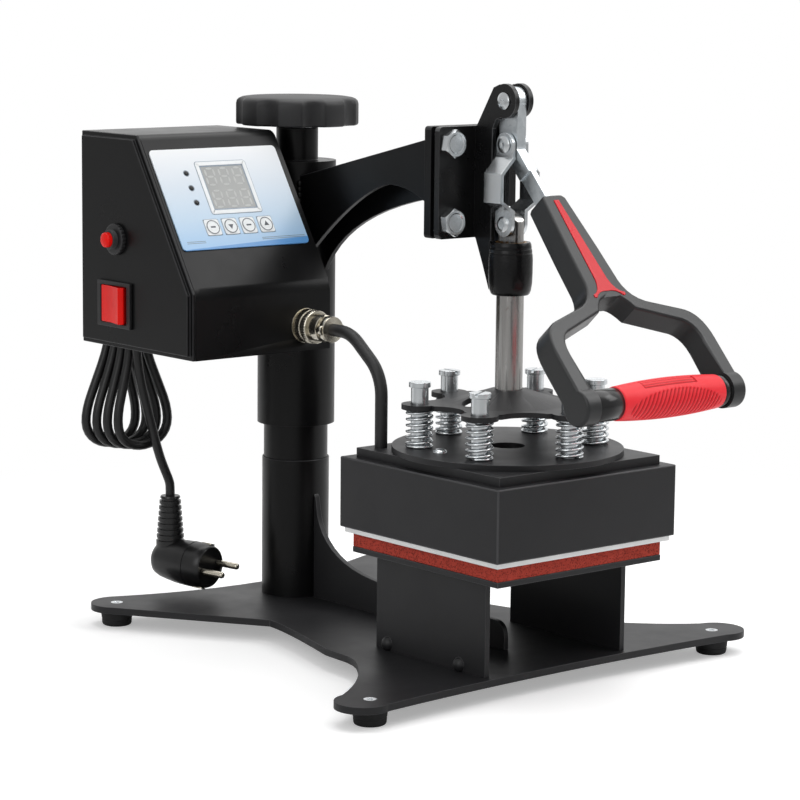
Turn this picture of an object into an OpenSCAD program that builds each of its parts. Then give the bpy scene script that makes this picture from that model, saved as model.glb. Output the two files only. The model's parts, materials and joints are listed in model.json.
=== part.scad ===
/* [Base] */
// Sideways distance from the middle to the front feet
front_foot_x = 158; // [140:1:180]
// Sideways distance from the middle to the back feet
back_foot_x = 128; // [110:1:150]
// How far in front of the plunger axis the front feet sit
front_foot_y = 46; // [35:1:60]
// How far behind the plunger axis the back feet sit
back_foot_y = 285; // [265:1:310]
// Radius of the rounded tip of each base leg
base_tip_r = 19; // [15:0.5:24]
// How far the front tips reach out past their feet
front_tip_out = 6; // [0:0.5:9]
// Thickness of the base plate
base_t = 5; // [3:0.5:8]
// Height of the rubber feet
foot_h = 11.6; // [8:0.2:16]
// Radius of a rubber foot where it meets the plate
foot_r = 12; // [9:0.5:14]
// Thickness of the upright rib on the base
rib_t = 4; // [3:0.5:6]

/* [Lower table] */
// Side of the square silicone pad
pad_side = 150; // [120:1:180]
// Thickness of the silicone pad
pad_t = 9.5; // [6:0.5:12]
// Thickness of the steel plate under the pad
table_t = 4; // [3:0.5:6]
// Height of the two table legs
leg_h = 66.2; // [50:0.2:90]
// Thickness of a table leg
leg_t = 4; // [3:0.5:6]
// Distance from the middle to the outer face of a table leg
leg_x = 64.5; // [50:0.5:70]
// How far the table legs reach forward
leg_front = 52; // [40:1:60]
// How far the table legs reach back
leg_back = 61; // [50:1:70]

/* [Post and sleeve] */
// Distance from the plunger axis back to the post axis
post_y = 235.4; // [220:0.2:260]
// Outer radius of the fixed post tube
post_r = 25; // [22:0.1:28]
// Height of the fixed post tube above the base plate
post_h = 103.6; // [80:0.2:120]
// Outer radius of the inner post that the sleeve turns on
inner_r = 23.8; // [20:0.1:24.5]
// Bore radius of the inner post
inner_bore = 17; // [12:0.5:19]
// Height of the top of the inner post
inner_top = 325; // [310:1:330]
// Outer radius of the swing sleeve
sleeve_r = 28.7; // [27:0.1:32]
// Height of the lower end of the swing sleeve
sleeve_low = 146.3; // [135:0.1:160]
// Height of the upper end of the swing sleeve
sleeve_top = 341.4; // [335:0.2:350]
// Radius of the neck above the sleeve
neck_r = 15.4; // [12:0.2:18]
// Height of the neck above the sleeve
neck_h = 23.6; // [20:0.2:34]
// Radius of the height adjusting knob
knob_r = 45; // [35:0.5:50]
// Thickness of the height adjusting knob
knob_t = 21; // [14:0.5:26]
// Number of lobes round the knob
knob_lobes = 8; // [6:1:10]
// Radius of the adjusting screw
screw_r = 8; // [6:0.5:9]

/* [Arm] */
// Thickness of the two arm plates
arm_t = 4; // [3:0.5:5]
// Distance between the two arm plates
arm_gap = 16; // [10:1:24]
// Sideways place of the middle of the arm
arm_x = -4; // [-8:1:4]
// Width of the bolted flange
flange_w = 70; // [60:1:80]
// Height of the bolted flange
flange_h = 76; // [66:1:84]
// Height of the middle of the flange
flange_z = 339; // [335:0.5:343]
// Distance from the plunger axis back to the front face of the flange
flange_y = 29; // [27:0.5:34]
// Sideways distance between the flange bolts
bolt_dx = 50; // [44:1:56]
// Upright distance between the flange bolts
bolt_dz = 53; // [46:1:58]
// Radius of a flange bolt
bolt_r = 5; // [4:0.5:6]

/* [Toggle] */
// Height of the fixed pivot of the lever
pivot_z = 394.9; // [390:0.1:400]
// Distance from the fixed pivot to the link pin
crank = 29.2; // [26:0.1:32]
// Length of the toggle links between pins
link_len = 53.8; // [50:0.1:58]
// Gap between the two toggle plates
toggle_gap = 9; // [7:0.2:10]
// Thickness of a toggle plate
toggle_t = 3.6; // [3:0.1:6]
// Thickness of a toggle link
link_t = 2.8; // [2:0.1:3.5]
// Half width of a toggle link
link_half = 8.5; // [7:0.1:9.5]
// How far the middle of a link stands out beyond its ends
link_out = 10.4; // [8:0.1:14]
// Radius of the pivot pins
pin_r = 4; // [3:0.1:5]
// Radius of the heads of the pivot pins
pin_head_r = 5.9; // [5:0.1:7]

/* [Plunger and springs] */
// Radius of the plunger rod
rod_r = 9.4; // [8:0.1:10]
// Outer radius of the black guide sleeve
guide_r = 15.1; // [13:0.1:17]
// Height of the lower end of the guide sleeve
guide_low = 264; // [255:1:270]
// Height of the upper end of the guide sleeve
guide_top = 299.8; // [296:0.2:300]
// Radius of the circle of spring posts
ring_r = 61.5; // [56:0.5:66]
// Number of spring posts
posts = 6; // [4:1:8]
// Radius of a spring post
post_pin_r = 6; // [5:0.1:7]
// Mean radius of a compression spring
spring_r = 8.5; // [8:0.1:10]
// Thickness of the spring wire
wire_d = 2; // [1.4:0.1:2.2]
// Turns of a compression spring
spring_turns = 7; // [5:1:8]
// Height of a spring pressed between its plates
spring_h = 26.5; // [22:0.5:32]
// Travel of a spring from open to pressed
spring_travel = 11; // [8:0.5:14]
// Thickness of the lobed spring plate
lobed_t = 3.5; // [2.5:0.5:5]
// Radius of a lobe of the spring plate
lobe_r = 12.5; // [10:0.5:14]
// Radius of the hollows between the lobes
hollow_r = 47; // [42:0.5:52]

/* [Heated head] */
// Side of the square heater housing
head_side = 163; // [140:1:190]
// Height of the heater housing
head_h = 49.2; // [40:0.2:60]
// Wall of the heater housing
head_wall = 2; // [1.5:0.1:3]
// Depth of the heating plate below the housing
plate_drop = 3.7; // [2:0.1:6]
// Thickness of the cast heating plate
plate_t = 15; // [10:0.5:20]
// Gap between the heating plate and the silicone pad at rest
press_gap = 0.5; // [0.3:0.1:2]
// How far the top plate is set in from the housing
lid_inset = 8; // [5:0.5:12]
// Thickness of the top plate
lid_t = 6.3; // [4:0.1:8]
// Radius of the round spring disc
disc_r = 79.5; // [74:0.5:84]
// Thickness of the round spring disc
disc_t = 4; // [3:0.5:6]
// Radius of the heater lead
lead_r = 4.4; // [3.5:0.1:5]

/* [Handle] */
// Tilt of the handle from upright
handle_tilt = 42.35; // [35:0.05:50]
// Distance from the link pin to the grip axis
handle_reach = 210.5; // [190:0.5:230]
// Distance from the link pin to the top of the moulded handle
shaft_top = 50; // [40:1:60]
// Depth of the moulded handle, front to back
handle_depth = 18; // [14:0.5:22]
// Outer half width of the handle across its two arms
handle_half = 72; // [62:0.5:80]
// Width of each arm of the handle
handle_arm = 12; // [9:0.5:15]
// Largest radius of the red grip
grip_r = 13; // [12:0.2:17]

/* [Control box] */
// Sideways place of the left side of the box
box_left = -159.4; // [-168:0.2:-150]
// Width of the box
box_w = 122.7; // [100:0.1:126]
// Distance from the plunger axis back to the front of the box
box_front = 149.7; // [140:0.1:160]
// Depth of the box
box_d = 134.5; // [115:0.5:145]
// Height of the underside of the box
box_low = 213.5; // [200:0.1:225]
// Height of the box
box_h = 151.5; // [130:0.1:160]
// Height of the upright part of the front
box_chin = 46.2; // [40:0.1:60]
// Depth that the sloping front takes
box_slope = 67; // [50:0.5:75]
// Sheet thickness of the box
sheet_t = 1.5; // [1:0.1:2]
// Width of the control label
label_w = 110; // [96:1:114]
// Height of the control label along the slope
label_h = 79; // [70:1:90]

/* [Mains cord] */
// Thickness of the mains cord
cord_d = 7; // [6:0.1:8]
// Loops in the hank
hank_loops = 4; // [3:1:5]
// Half length of a loop of the hank
hank_half = 94; // [70:1:100]

/* [Hidden] */
$fn = 64;

fit_gap = 0.05;
gap = 0.3;
table_z = foot_h + base_t + leg_h;
pad_z = table_z + table_t;
plate_z = pad_z + pad_t + press_gap;
head_z = plate_z + plate_drop;
lid_z = head_z + head_h;
disc_z = lid_z + lid_t;
spring_z = disc_z + disc_t;
lobed_z = spring_z + spring_h;
lobed_top = lobed_z + lobed_t;
hub_rise = 9;
hub_r = 13;
cone_r = 41;
base_z = foot_h + base_t;
link_z = pivot_z - crank;
tongue_z = link_z - link_len;
flange_t = 4.6;
flange_step = 4.1;
end_t = 6.6;
end_y = flange_y + flange_t + flange_step;
arm_y = end_y + end_t;
flange_x = arm_x - 1;
box_back = box_front + box_d;
box_top = box_low + box_h;
chin_z = box_low + box_chin;
slope_a = atan2(box_h - box_chin, box_slope);
box_right = box_left + box_w;
cover_t = 5;
frame_y = -((back_foot_y + base_tip_r) - (handle_reach * sin(handle_tilt) + 14.4)) / 2;
plug_turn = 74;
plug_droop = 2;
plug_r = 17;
plug_face_r = 15.2;
plug_len = 38;
plug_z = base_z + 24.8;
pin_apart = 17.8;
pin_low = 3.6;
socket_x = -60;
socket_z = 231.8;
lead_in_y = 63.4;
lead_in_x = socket_x;

function bezier(a, b, c, n) =
  [for (i = [0:n]) let(t = i / n) (1 - t) * (1 - t) * a + 2 * t * (1 - t) * b + t * t * c];
function flip(points) = [for (i = [len(points) - 1:-1:0]) [-points[i][0], points[i][1]]];

module home() {
  translate([0, frame_y, 0]) children();
}

// Turns an outline drawn in depth and height into a plate whose left face is at x
module side_plate(x, t) {
  translate([x, 0, 0]) rotate([90, 0, 90]) linear_extrude(t) children();
}

module along_x(x, y, z, r, l) {
  translate([x, y, z]) rotate([0, 90, 0]) cylinder(r = r, h = l);
}

module along_y(x, y, z, r, l) {
  translate([x, y + l, z]) rotate([90, 0, 0]) cylinder(r = r, h = l);
}

module on_post() {
  translate([0, post_y, 0]) children();
}

module each_post() {
  for (i = [0:posts - 1]) rotate(360 / posts * (i + 0.5)) translate([ring_r, 0, 0]) children();
}

module handle_space() {
  translate([0, 0, link_z]) rotate([90 - handle_tilt, 0, 0]) children();
}

module slope_space() {
  translate([0, box_front, chin_z]) rotate([slope_a, 0, 0]) children();
}

foot_places = [[front_foot_x, -front_foot_y], [-front_foot_x, -front_foot_y],
  [back_foot_x, back_foot_y], [-back_foot_x, back_foot_y]];

tip_x = front_foot_x + front_tip_out;
front_edge = bezier([-tip_x + 8, -front_foot_y - base_tip_r + 1.8],
  [0, -front_foot_y - 4], [tip_x - 8, -front_foot_y - base_tip_r + 1.8], 12);
side_low = concat(bezier([tip_x + 2, -front_foot_y + base_tip_r - 0.2], [128, -4], [103, 36], 8),
  bezier([103, 36], [97, 47], [97, 62], 3));
side_high = bezier([96, 78], [75, 148], [74, 170], 6);
side_tip = [[back_foot_x + base_tip_r - 2.6, back_foot_y - 9]];
rear_edge = bezier([back_foot_x - 8, back_foot_y + base_tip_r - 1.8],
  [0, back_foot_y - 34], [-back_foot_x + 8, back_foot_y + base_tip_r - 1.8], 12);
right_side = concat(side_low, side_high, side_tip);

module base_plate() {
  color("#1b1b1c") home() translate([0, 0, foot_h]) difference() {
    linear_extrude(base_t) {
      polygon(concat(front_edge, right_side, rear_edge, flip(right_side)));
      for (s = [-1, 1]) translate([s * tip_x, -front_foot_y]) circle(r = base_tip_r);
      for (s = [-1, 1]) translate([s * back_foot_x, back_foot_y]) circle(r = base_tip_r);
    }
    for (p = foot_places) translate([p[0], p[1], -1]) cylinder(r = 2.6, h = base_t + 2);
    for (p = foot_places) translate([p[0], p[1], base_t - 2]) cylinder(r1 = 2.6, r2 = 4.6, h = 2);
  }
}

module rubber_feet() {
  color("#101010") home() for (p = foot_places) translate([p[0], p[1], 0]) difference() {
    rotate_extrude() polygon([[0, 0], [foot_r - 2, 0], [foot_r - 1.2, 0.8], [foot_r, foot_h],
      [0, foot_h]]);
    translate([0, 0, foot_h - 8]) cylinder(r = 2.5, h = 9);
  }
}

module foot_screws() {
  color("#b9bcbf") home() for (p = foot_places) translate([p[0], p[1], 0]) {
    translate([0, 0, foot_h - 7]) cylinder(r = 2.5, h = 7 + base_t - 2);
    translate([0, 0, base_z - 2]) cylinder(r1 = 2.5, r2 = 4.5, h = 2);
  }
}

rib_low_h = 20;
rib_end_y = -2;
rib_top = 96;
rib_outline = concat(
  [[post_y - post_r + 1, base_z], [post_y - post_r + 1, rib_top], [post_y - post_r - 2, rib_top - 4]],
  bezier([post_y - post_r - 4, 80], [197, 44], [130, base_z + rib_low_h + 4], 10),
  bezier([rib_end_y + 12, base_z + rib_low_h], [rib_end_y, base_z + rib_low_h],
    [rib_end_y, base_z + rib_low_h - 12], 6),
  [[rib_end_y, base_z]]);

module base_rib() {
  color("#1b1b1c") home() difference() {
    side_plate(-rib_t / 2, rib_t) polygon(rib_outline);
    on_post() translate([0, 0, base_z - 1]) cylinder(r = post_r, h = 120);
  }
}

weld_y = [-leg_front + 26, leg_back - 12];

module stand_legs() {
  color("#1e1e1f") home() for (s = [-1, 1]) {
    translate([s * (leg_x - leg_t / 2) - leg_t / 2, -leg_front, base_z])
      cube([leg_t, leg_front + leg_back, leg_h]);
    for (y = weld_y) intersection() {
      translate([s * (leg_x - 1.5), y, base_z + 4.2]) sphere(r = 5.5);
      translate([s * (leg_x + 3 - leg_t / 2) - 3 - leg_t / 2, y - 8, base_z])
        cube([6 + leg_t, 16, 20]);
    }
  }
}

module lower_plate() {
  color("#3a3b3d") home() translate([-pad_side / 2, -pad_side / 2, table_z])
    cube([pad_side, pad_side, table_t]);
}

module silicone_pad() {
  color("#a8402c") home() translate([-pad_side / 2, -pad_side / 2, pad_z])
    cube([pad_side, pad_side, pad_t]);
}

module post_tube() {
  color("#1b1b1c") home() on_post() translate([0, 0, base_z]) difference() {
    cylinder(r = post_r, h = post_h);
    translate([0, 0, -1]) cylinder(r = inner_r, h = post_h + 2);
  }
}

module inner_post() {
  color("#1b1b1c") home() on_post() difference() {
    translate([0, 0, base_z]) cylinder(r = inner_r, h = inner_top - base_z);
    translate([0, 0, base_z - 1]) cylinder(r = inner_bore, h = inner_top - 26 - base_z);
    translate([0, 0, base_z]) cylinder(r = screw_r + fit_gap, h = inner_top);
  }
}

cap_t = 6;
neck_top = sleeve_top + neck_h;
washer_t = 1.8;
knob_z = neck_top + washer_t + 0.4;

module swing_sleeve() {
  color("#1b1b1c") home() difference() {
    union() {
      on_post() translate([0, 0, sleeve_low]) cylinder(r = sleeve_r, h = sleeve_top - sleeve_low);
      translate([box_right, post_y - 20, box_low + 24]) cube([-box_right - 10, 34, 84]);
    }
    on_post() translate([0, 0, sleeve_low - 1])
      cylinder(r = inner_r + fit_gap, h = sleeve_top - sleeve_low + 2);
  }
}

module sleeve_cap() {
  color("#1b1b1c") home() on_post() difference() {
    union() {
      translate([0, 0, sleeve_top - cap_t]) cylinder(r = inner_r + fit_gap, h = cap_t);
      translate([0, 0, sleeve_top]) cylinder(r = neck_r, h = neck_h);
    }
    translate([0, 0, sleeve_top - cap_t - 1]) cylinder(r = screw_r + gap, h = cap_t + neck_h + 2);
  }
}

module thrust_washer() {
  color("#9a9c9e") home() on_post() translate([0, 0, neck_top + 0.2]) difference() {
    cylinder(r = neck_r - 1, h = washer_t);
    translate([0, 0, -1]) cylinder(r = screw_r + gap, h = washer_t + 2);
  }
}

module adjusting_knob() {
  color("#151516") home() on_post() translate([0, 0, knob_z]) difference() {
    rotate_extrude() polygon([[0, 0], [knob_r - 3, 0], [knob_r, 3], [knob_r, knob_t - 4],
      [knob_r - 4, knob_t], [0, knob_t]]);
    for (i = [0:knob_lobes - 1]) rotate(360 / knob_lobes * (i + 0.5))
      translate([knob_r + 5.4, 0, -1]) cylinder(r = 9, h = knob_t + 2);
    translate([0, 0, -1]) cylinder(r = screw_r, h = knob_t - 5);
  }
}

module adjusting_screw() {
  color("#b0b2b4") home() on_post() translate([0, 0, inner_top - 60])
    cylinder(r = screw_r, h = knob_z + knob_t - 6 - inner_top + 60);
}

left_x = arm_x - arm_gap / 2 - arm_t;
right_x = arm_x + arm_gap / 2;
arm_top_z = flange_z + flange_h / 2 - 5;
arm_left = concat([[post_y - 10, arm_top_z - 44], [arm_y, arm_top_z]],
  bezier([arm_y, flange_z - flange_h / 2 + 2], [arm_y + 31, 332], [arm_y + 66, 332], 8),
  bezier([arm_y + 66, 332], [150, 325], [post_y - 20, 262], 12),
  [[post_y - 10, 250]]);
arm_right = concat([[post_y - 10, arm_top_z - 44], [arm_y, arm_top_z], [arm_y, 332], [107, 319]],
  bezier([107, 319], [190, 300], [post_y - 26, 258], 10), [[post_y - 10, 250]]);

module arm_plates() {
  color("#232325") home() difference() {
    union() {
      side_plate(left_x, arm_t) polygon(arm_left);
      side_plate(right_x, arm_t) polygon(arm_right);
    }
    on_post() cylinder(r = sleeve_r, h = 500);
  }
}

module bolt_holes(y, l) {
  for (i = [-1, 1], j = [-1, 1])
    along_y(flange_x + i * bolt_dx / 2, y, flange_z + j * bolt_dz / 2, bolt_r + fit_gap, l);
}

module arm_end_plate() {
  color("#232325") home() difference() {
    translate([flange_x - flange_w / 2, end_y, flange_z - flange_h / 2])
      cube([flange_w, end_t, flange_h]);
    bolt_holes(end_y - 1, end_t + 2);
  }
}

module toggle_flange() {
  color("#161617") home() difference() {
    union() {
      translate([flange_x - flange_w / 2, flange_y, flange_z - flange_h / 2])
        cube([flange_w, flange_t, flange_h]);
      translate([flange_x - flange_w / 2 + 3, flange_y + flange_t, flange_z - flange_h / 2 + 3])
        cube([flange_w - 6, flange_step, flange_h - 6]);
    }
    bolt_holes(flange_y - 1, flange_t + flange_step + 2);
  }
}

ear_r = 11.6;
web_y = 11.5;
toggle_outline = [[flange_y, flange_z - 36], [flange_y, flange_z + 36], [27, 378], [11, 403.6],
  [5, pivot_z + 11], [-2, pivot_z - ear_r + 2], [8, pivot_z - ear_r - 1], [web_y, pivot_z - 19],
  [web_y, guide_top + 4], [9, guide_low + 2], [12, guide_low], [20, 284], [27, 300]];

module toggle_plates() {
  color("#161617") home() difference() {
    for (x = [-toggle_gap / 2 - toggle_t, toggle_gap / 2]) side_plate(x, toggle_t) {
      polygon(toggle_outline);
      translate([0, pivot_z]) circle(r = ear_r);
    }
    along_x(-20, 0, pivot_z, pin_r + fit_gap, 40);
    translate([0, 0, guide_low - 1]) cylinder(r = guide_r, h = guide_top - guide_low + 1);
  }
}

head_t = 6.6;
hex_r = 9.8;

module flange_bolts() {
  color("#c3c6c8") home() for (i = [-1, 1], j = [-1, 1])
    translate([flange_x + i * bolt_dx / 2, 0, flange_z + j * bolt_dz / 2]) {
      along_y(0, flange_y, 0, bolt_r, arm_y - flange_y - 0.5);
      translate([0, flange_y, 0]) rotate([90, 30, 0]) cylinder(r = hex_r, h = head_t, $fn = 6);
    }
}

module guide_sleeve() {
  color("#0f0f10") home() rotate_extrude() polygon([[rod_r + 1.6, guide_low], [12.6, guide_low],
    [14.2, guide_low + 3], [guide_r, guide_low + 11], [guide_r, guide_top - 10],
    [14.4, guide_top - 3], [13.6, guide_top], [rod_r + 1.6, guide_top]]);
}

module guide_bush() {
  color("#9c7b3c") home() translate([0, 0, guide_low]) difference() {
    cylinder(r = rod_r + 1.6, h = guide_top - guide_low);
    translate([0, 0, -1]) cylinder(r = rod_r + fit_gap, h = guide_top - guide_low + 2);
  }
}

link_x = toggle_gap / 2;

// A pin across the machine with a low domed head on each end
module pin(z, half) {
  along_x(-half, 0, z, pin_r, 2 * half);
  for (s = [-1, 1]) translate([s * half, 0, z]) rotate([0, 90 * s, 0])
    rotate_extrude() polygon([[0, 0], [pin_head_r, 0], [pin_head_r, 0.7], [3, 1.9], [0, 1.9]]);
}

module toggle_pins() {
  color("#c9cccd") home() {
    pin(pivot_z, toggle_gap / 2 + toggle_t + 0.2);
    pin(link_z, link_x + link_t + 0.3);
  }
}

lever_half = toggle_gap / 2 - 0.6;
bar_half = 2.2;
bar_in = 95;

module lever_bar() {
  color("#b9bdbf") home() difference() {
    union() {
      side_plate(-lever_half, 2 * lever_half) {
        translate([0, pivot_z]) circle(r = 9.5);
        translate([0, link_z]) circle(r = 9);
        translate([-9, link_z]) square([18, crank]);
      }
      handle_space() translate([-lever_half, -26, -7]) cube([2 * lever_half, 26, 11.5]);
      handle_space() translate([-bar_half, -bar_in, -7]) cube([2 * bar_half, bar_in, 11.5]);
    }
    along_x(-20, 0, pivot_z, pin_r, 40);
    along_x(-20, 0, link_z, pin_r, 40);
  }
}

arm_in = handle_half - handle_arm;
shaft_half = 10.4;
shaft_low_half = 15.6;
shaft_edge = [[8, -shaft_top], [shaft_half, -shaft_top - 3], [14, -95], [shaft_low_half, -122]];
outer_edge = concat(shaft_edge,
  bezier([shaft_low_half, -122], [17, -137], [34, -141.5], 6),
  bezier([handle_half - 16, -148.5], [handle_half, -153], [handle_half, -175], 8),
  [[handle_half, -handle_reach]]);
inner_edge = concat([[0, -135]], bezier([6, -135], [11, -136], [16, -145.5], 4),
  bezier([arm_in - 12, -157], [arm_in, -160], [arm_in, -175], 6), [[arm_in, -handle_reach]]);
boss_r = 12;
core_r = 6;
collar_r = 10.4;
grip_left = -38;
grip_right = 54;
stripe_edge = concat([[2.2, -shaft_top - 5], [5.4, -121]], bezier([5.4, -121], [7, -131], [14, -132.5], 4),
  [[14, -134.5]], bezier([12, -135], [8, -129.5], [0, -130.5], 5));
inlay_d = 1;

module handle_frame() {
  color("#4a4b4d") home() handle_space() difference() {
    union() {
      translate([0, 0, -handle_depth / 2]) linear_extrude(handle_depth) difference() {
        polygon(concat(outer_edge, flip(outer_edge)));
        polygon(concat(inner_edge, flip(inner_edge)));
      }
      for (s = [-1, 1]) along_x(s * (arm_in + handle_arm / 2) - handle_arm / 2, -handle_reach, 0,
        boss_r, handle_arm);
      along_x(-arm_in, -handle_reach, 0, core_r, 2 * arm_in);
      along_x(-arm_in, -handle_reach, 0, collar_r, arm_in + grip_left);
      along_x(grip_right, -handle_reach, 0, collar_r, arm_in - grip_right);
    }
    translate([-bar_half, -bar_in, -7]) cube([2 * bar_half, bar_in, 11.5]);
    translate([0, 0, handle_depth / 2 - inlay_d]) linear_extrude(inlay_d + 1)
      polygon(concat(stripe_edge, flip(stripe_edge)));
  }
}

module handle_inlay() {
  color("#d81f2c") home() handle_space() translate([0, 0, handle_depth / 2 - inlay_d])
    linear_extrude(inlay_d + 0.5) polygon(concat(stripe_edge, flip(stripe_edge)));
}

grip_profile = concat([[core_r, grip_left], [collar_r + 0.6, grip_left]],
  bezier([collar_r + 0.8, grip_left], [grip_r + 2.6, (grip_left + grip_right) / 2],
    [collar_r + 0.8, grip_right], 10), [[core_r, grip_right]]);

module grip_sleeve() {
  color("#e02434") home() handle_space() translate([0, -handle_reach, 0]) rotate([90, 0, 90])
    rotate_extrude() polygon(grip_profile);
}

mid_low = tongue_z + 15;
mid_high = link_z - 19;
bent_x = link_x + link_t;

// One link: two ends beside the lever and the tongue, joined by a middle that stands out
module link() {
  difference() {
    union() {
      side_plate(link_x, link_t) {
        translate([0, link_z]) circle(r = link_half - 0.4);
        translate([0, tongue_z]) circle(r = link_half);
        translate([-link_half + 0.4, link_z - 9]) square([2 * link_half - 0.8, 9]);
        translate([-link_half, tongue_z]) square([2 * link_half, 9]);
      }
      translate([0, link_half, 0]) rotate([90, 0, 0]) linear_extrude(2 * link_half) polygon([
        [link_x, tongue_z + 8], [bent_x, tongue_z + 8], [bent_x, tongue_z + 8.6],
        [bent_x + link_out, mid_low], [bent_x + link_out, mid_high],
        [bent_x, link_z - 8.6], [bent_x, link_z - 8], [link_x, link_z - 8],
        [link_x, link_z - 9.6], [link_x + link_out, mid_high - 1], [link_x + link_out, mid_low + 1],
        [link_x, tongue_z + 9.6]]);
      translate([bent_x, 0, tongue_z]) rotate([0, 90, 0]) rotate_extrude()
        polygon([[0, 0], [pin_head_r - 0.5, 0], [pin_head_r - 0.5, 0.7], [3, 1.8], [0, 1.8]]);
    }
    along_x(link_x - 1, 0, link_z, pin_r + fit_gap, link_t + 2);
  }
}

module toggle_links() {
  color("#c3c6c8") home() {
    link();
    mirror([1, 0, 0]) link();
  }
}

tongue_half = toggle_gap / 2 - 0.6;
shoulder_z = guide_top - 12;

module plunger_rod() {
  rod_low = lobed_z + hub_rise;
  color("#b4b6b8") home() {
    translate([0, 0, rod_low]) cylinder(r = rod_r, h = shoulder_z - rod_low);
    intersection() {
      translate([0, 0, shoulder_z]) cylinder(r = rod_r, h = tongue_z + 8 - shoulder_z);
      side_plate(-tongue_half, 2 * tongue_half) {
        translate([-rod_r, shoulder_z]) square([2 * rod_r, tongue_z - shoulder_z]);
        translate([0, tongue_z - 2]) circle(r = rod_r + 0.6);
      }
    }
  }
}

// The flower shaped outline: lobes on the ring, joined by hollows that touch them
lobe_step = 180 / posts;
lobe_mid = ring_r * cos(lobe_step) - hollow_r;
lobe_side = ring_r * sin(lobe_step);
hollow_cut = (lobe_mid * lobe_mid + lobe_side * lobe_side - lobe_r * lobe_r) / (2 * (lobe_r + lobe_mid));

module flower() {
  difference() {
    union() {
      polygon([for (i = [0:posts - 1]) let(a = 360 / posts * (i + 0.5)) ring_r * [cos(a), sin(a)]]);
      each_post() circle(r = lobe_r);
    }
    for (i = [0:posts - 1]) rotate(360 / posts * i) translate([hollow_r + hollow_cut, 0])
      circle(r = hollow_cut);
  }
}

light_r = 10;

module spring_plate() {
  color("#262628") home() difference() {
    union() {
      translate([0, 0, lobed_z]) linear_extrude(lobed_t) difference() {
        flower();
        circle(r = cone_r - 1);
      }
      rotate_extrude() polygon([[rod_r, lobed_z + hub_rise], [rod_r, lobed_top + hub_rise],
        [hub_r, lobed_top + hub_rise], [cone_r, lobed_top], [cone_r, lobed_z],
        [cone_r - 2, lobed_z], [hub_r, lobed_z + hub_rise]]);
    }
    translate([0, 0, lobed_z - 1]) each_post() cylinder(r = post_pin_r + gap, h = lobed_t + 2);
    for (a = [60, 180]) rotate(a) translate([29, 0, lobed_z - 1])
      cylinder(r = light_r, h = lobed_t + hub_rise + 2);
    translate([0, 0, lobed_z - 1]) cylinder(r = rod_r, h = 40);
  }
}

// Wire springs: one closed tube each, swept round a helix with flat end coils
ring_steps = 8;
wire_sides = 6;
flat_turn = 0.6;

function helix_z(t) = let(m = min(max(t - flat_turn, 0), spring_turns - 2 * flat_turn))
  wire_d / 2 + 0.1 + m / (spring_turns - 2 * flat_turn) * (spring_h - wire_d - 0.2);
function helix_ring(t) = [for (j = [0:wire_sides - 1]) let(a = 360 * j / wire_sides,
  r = spring_r + wire_d / 2 * cos(a)) [r * cos(360 * t), r * sin(360 * t),
  helix_z(t) + wire_d / 2 * sin(a)]];

function tube_faces(rings, sides) = concat(
  [for (i = [0:rings - 2], j = [0:sides - 1]) let(k = (j + 1) % sides)
    [i * sides + j, (i + 1) * sides + j, (i + 1) * sides + k]],
  [for (i = [0:rings - 2], j = [0:sides - 1]) let(k = (j + 1) % sides)
    [i * sides + j, (i + 1) * sides + k, i * sides + k]],
  [for (j = [1:sides - 2]) [0, j, j + 1]],
  [for (j = [1:sides - 2]) let(e = (rings - 1) * sides) [e, e + j + 1, e + j]]);

module spring() {
  rings = spring_turns * ring_steps + 1;
  points = [for (i = [0:rings - 1]) each helix_ring(i / ring_steps)];
  polyhedron(points = points, faces = [for (f = tube_faces(rings, wire_sides)) [f[2], f[1], f[0]]]);
}

module compression_springs() {
  color("#c8cacc") home() translate([0, 0, spring_z]) each_post() spring();
}

post_head_r = 7.5;
post_head_t = 3.5;

module spring_posts() {
  color("#bfc2c4") home() each_post() difference() {
    union() {
      translate([0, 0, spring_z]) cylinder(r = post_pin_r, h = spring_h + lobed_t + spring_travel + 0.5);
      translate([0, 0, disc_z]) cylinder(r = 3, h = disc_t + 1);
      translate([0, 0, lobed_top + spring_travel + 0.5]) cylinder(r = post_head_r, h = post_head_t);
    }
    translate([-10, -0.9, lobed_top + spring_travel + 0.5 + post_head_t - 1.6]) cube([20, 1.8, 4]);
  }
}

disc_screw_r = 57;
disc_screw_a = 175;

module spring_disc() {
  color("#242426") home() translate([0, 0, disc_z]) difference() {
    cylinder(r = disc_r, h = disc_t);
    translate([0, 0, -1]) cylinder(r = 12, h = disc_t + 2);
    translate([0, 0, -1]) each_post() cylinder(r = 3, h = disc_t + 2);
    for (i = [0, 1]) rotate(disc_screw_a + 180 * i) translate([disc_screw_r, 0, -1])
      cylinder(r = 2, h = disc_t + 2);
  }
}

module disc_screws() {
  color("#c9cccd") home() for (i = [0, 1]) rotate(disc_screw_a + 180 * i)
    translate([disc_screw_r, 0, disc_z]) {
      translate([0, 0, -lid_t + 1]) cylinder(r = 2, h = lid_t + disc_t - 1);
      translate([0, 0, disc_t]) rotate_extrude() polygon([[0, 0], [4.8, 0], [4.6, 1.2], [3, 2.4],
        [0, 2.8]]);
    }
}

module platen_top_plate() {
  color("#1f1f21") home() difference() {
    translate([-head_side / 2 + lid_inset, -head_side / 2 + lid_inset, lid_z])
      cube([head_side - 2 * lid_inset, head_side - 2 * lid_inset, lid_t]);
    for (i = [0, 1]) rotate(disc_screw_a + 180 * i) translate([disc_screw_r, 0, lid_z - 1])
      cylinder(r = 2, h = lid_t + 2);
  }
}

module platen_housing() {
  color("#1f1f21") home() difference() {
    translate([-head_side / 2, -head_side / 2, head_z]) cube([head_side, head_side, head_h]);
    translate([-head_side / 2 + head_wall, -head_side / 2 + head_wall, head_z - 1])
      cube([head_side - 2 * head_wall, head_side - 2 * head_wall, head_h - head_wall + 1]);
  }
}

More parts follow.
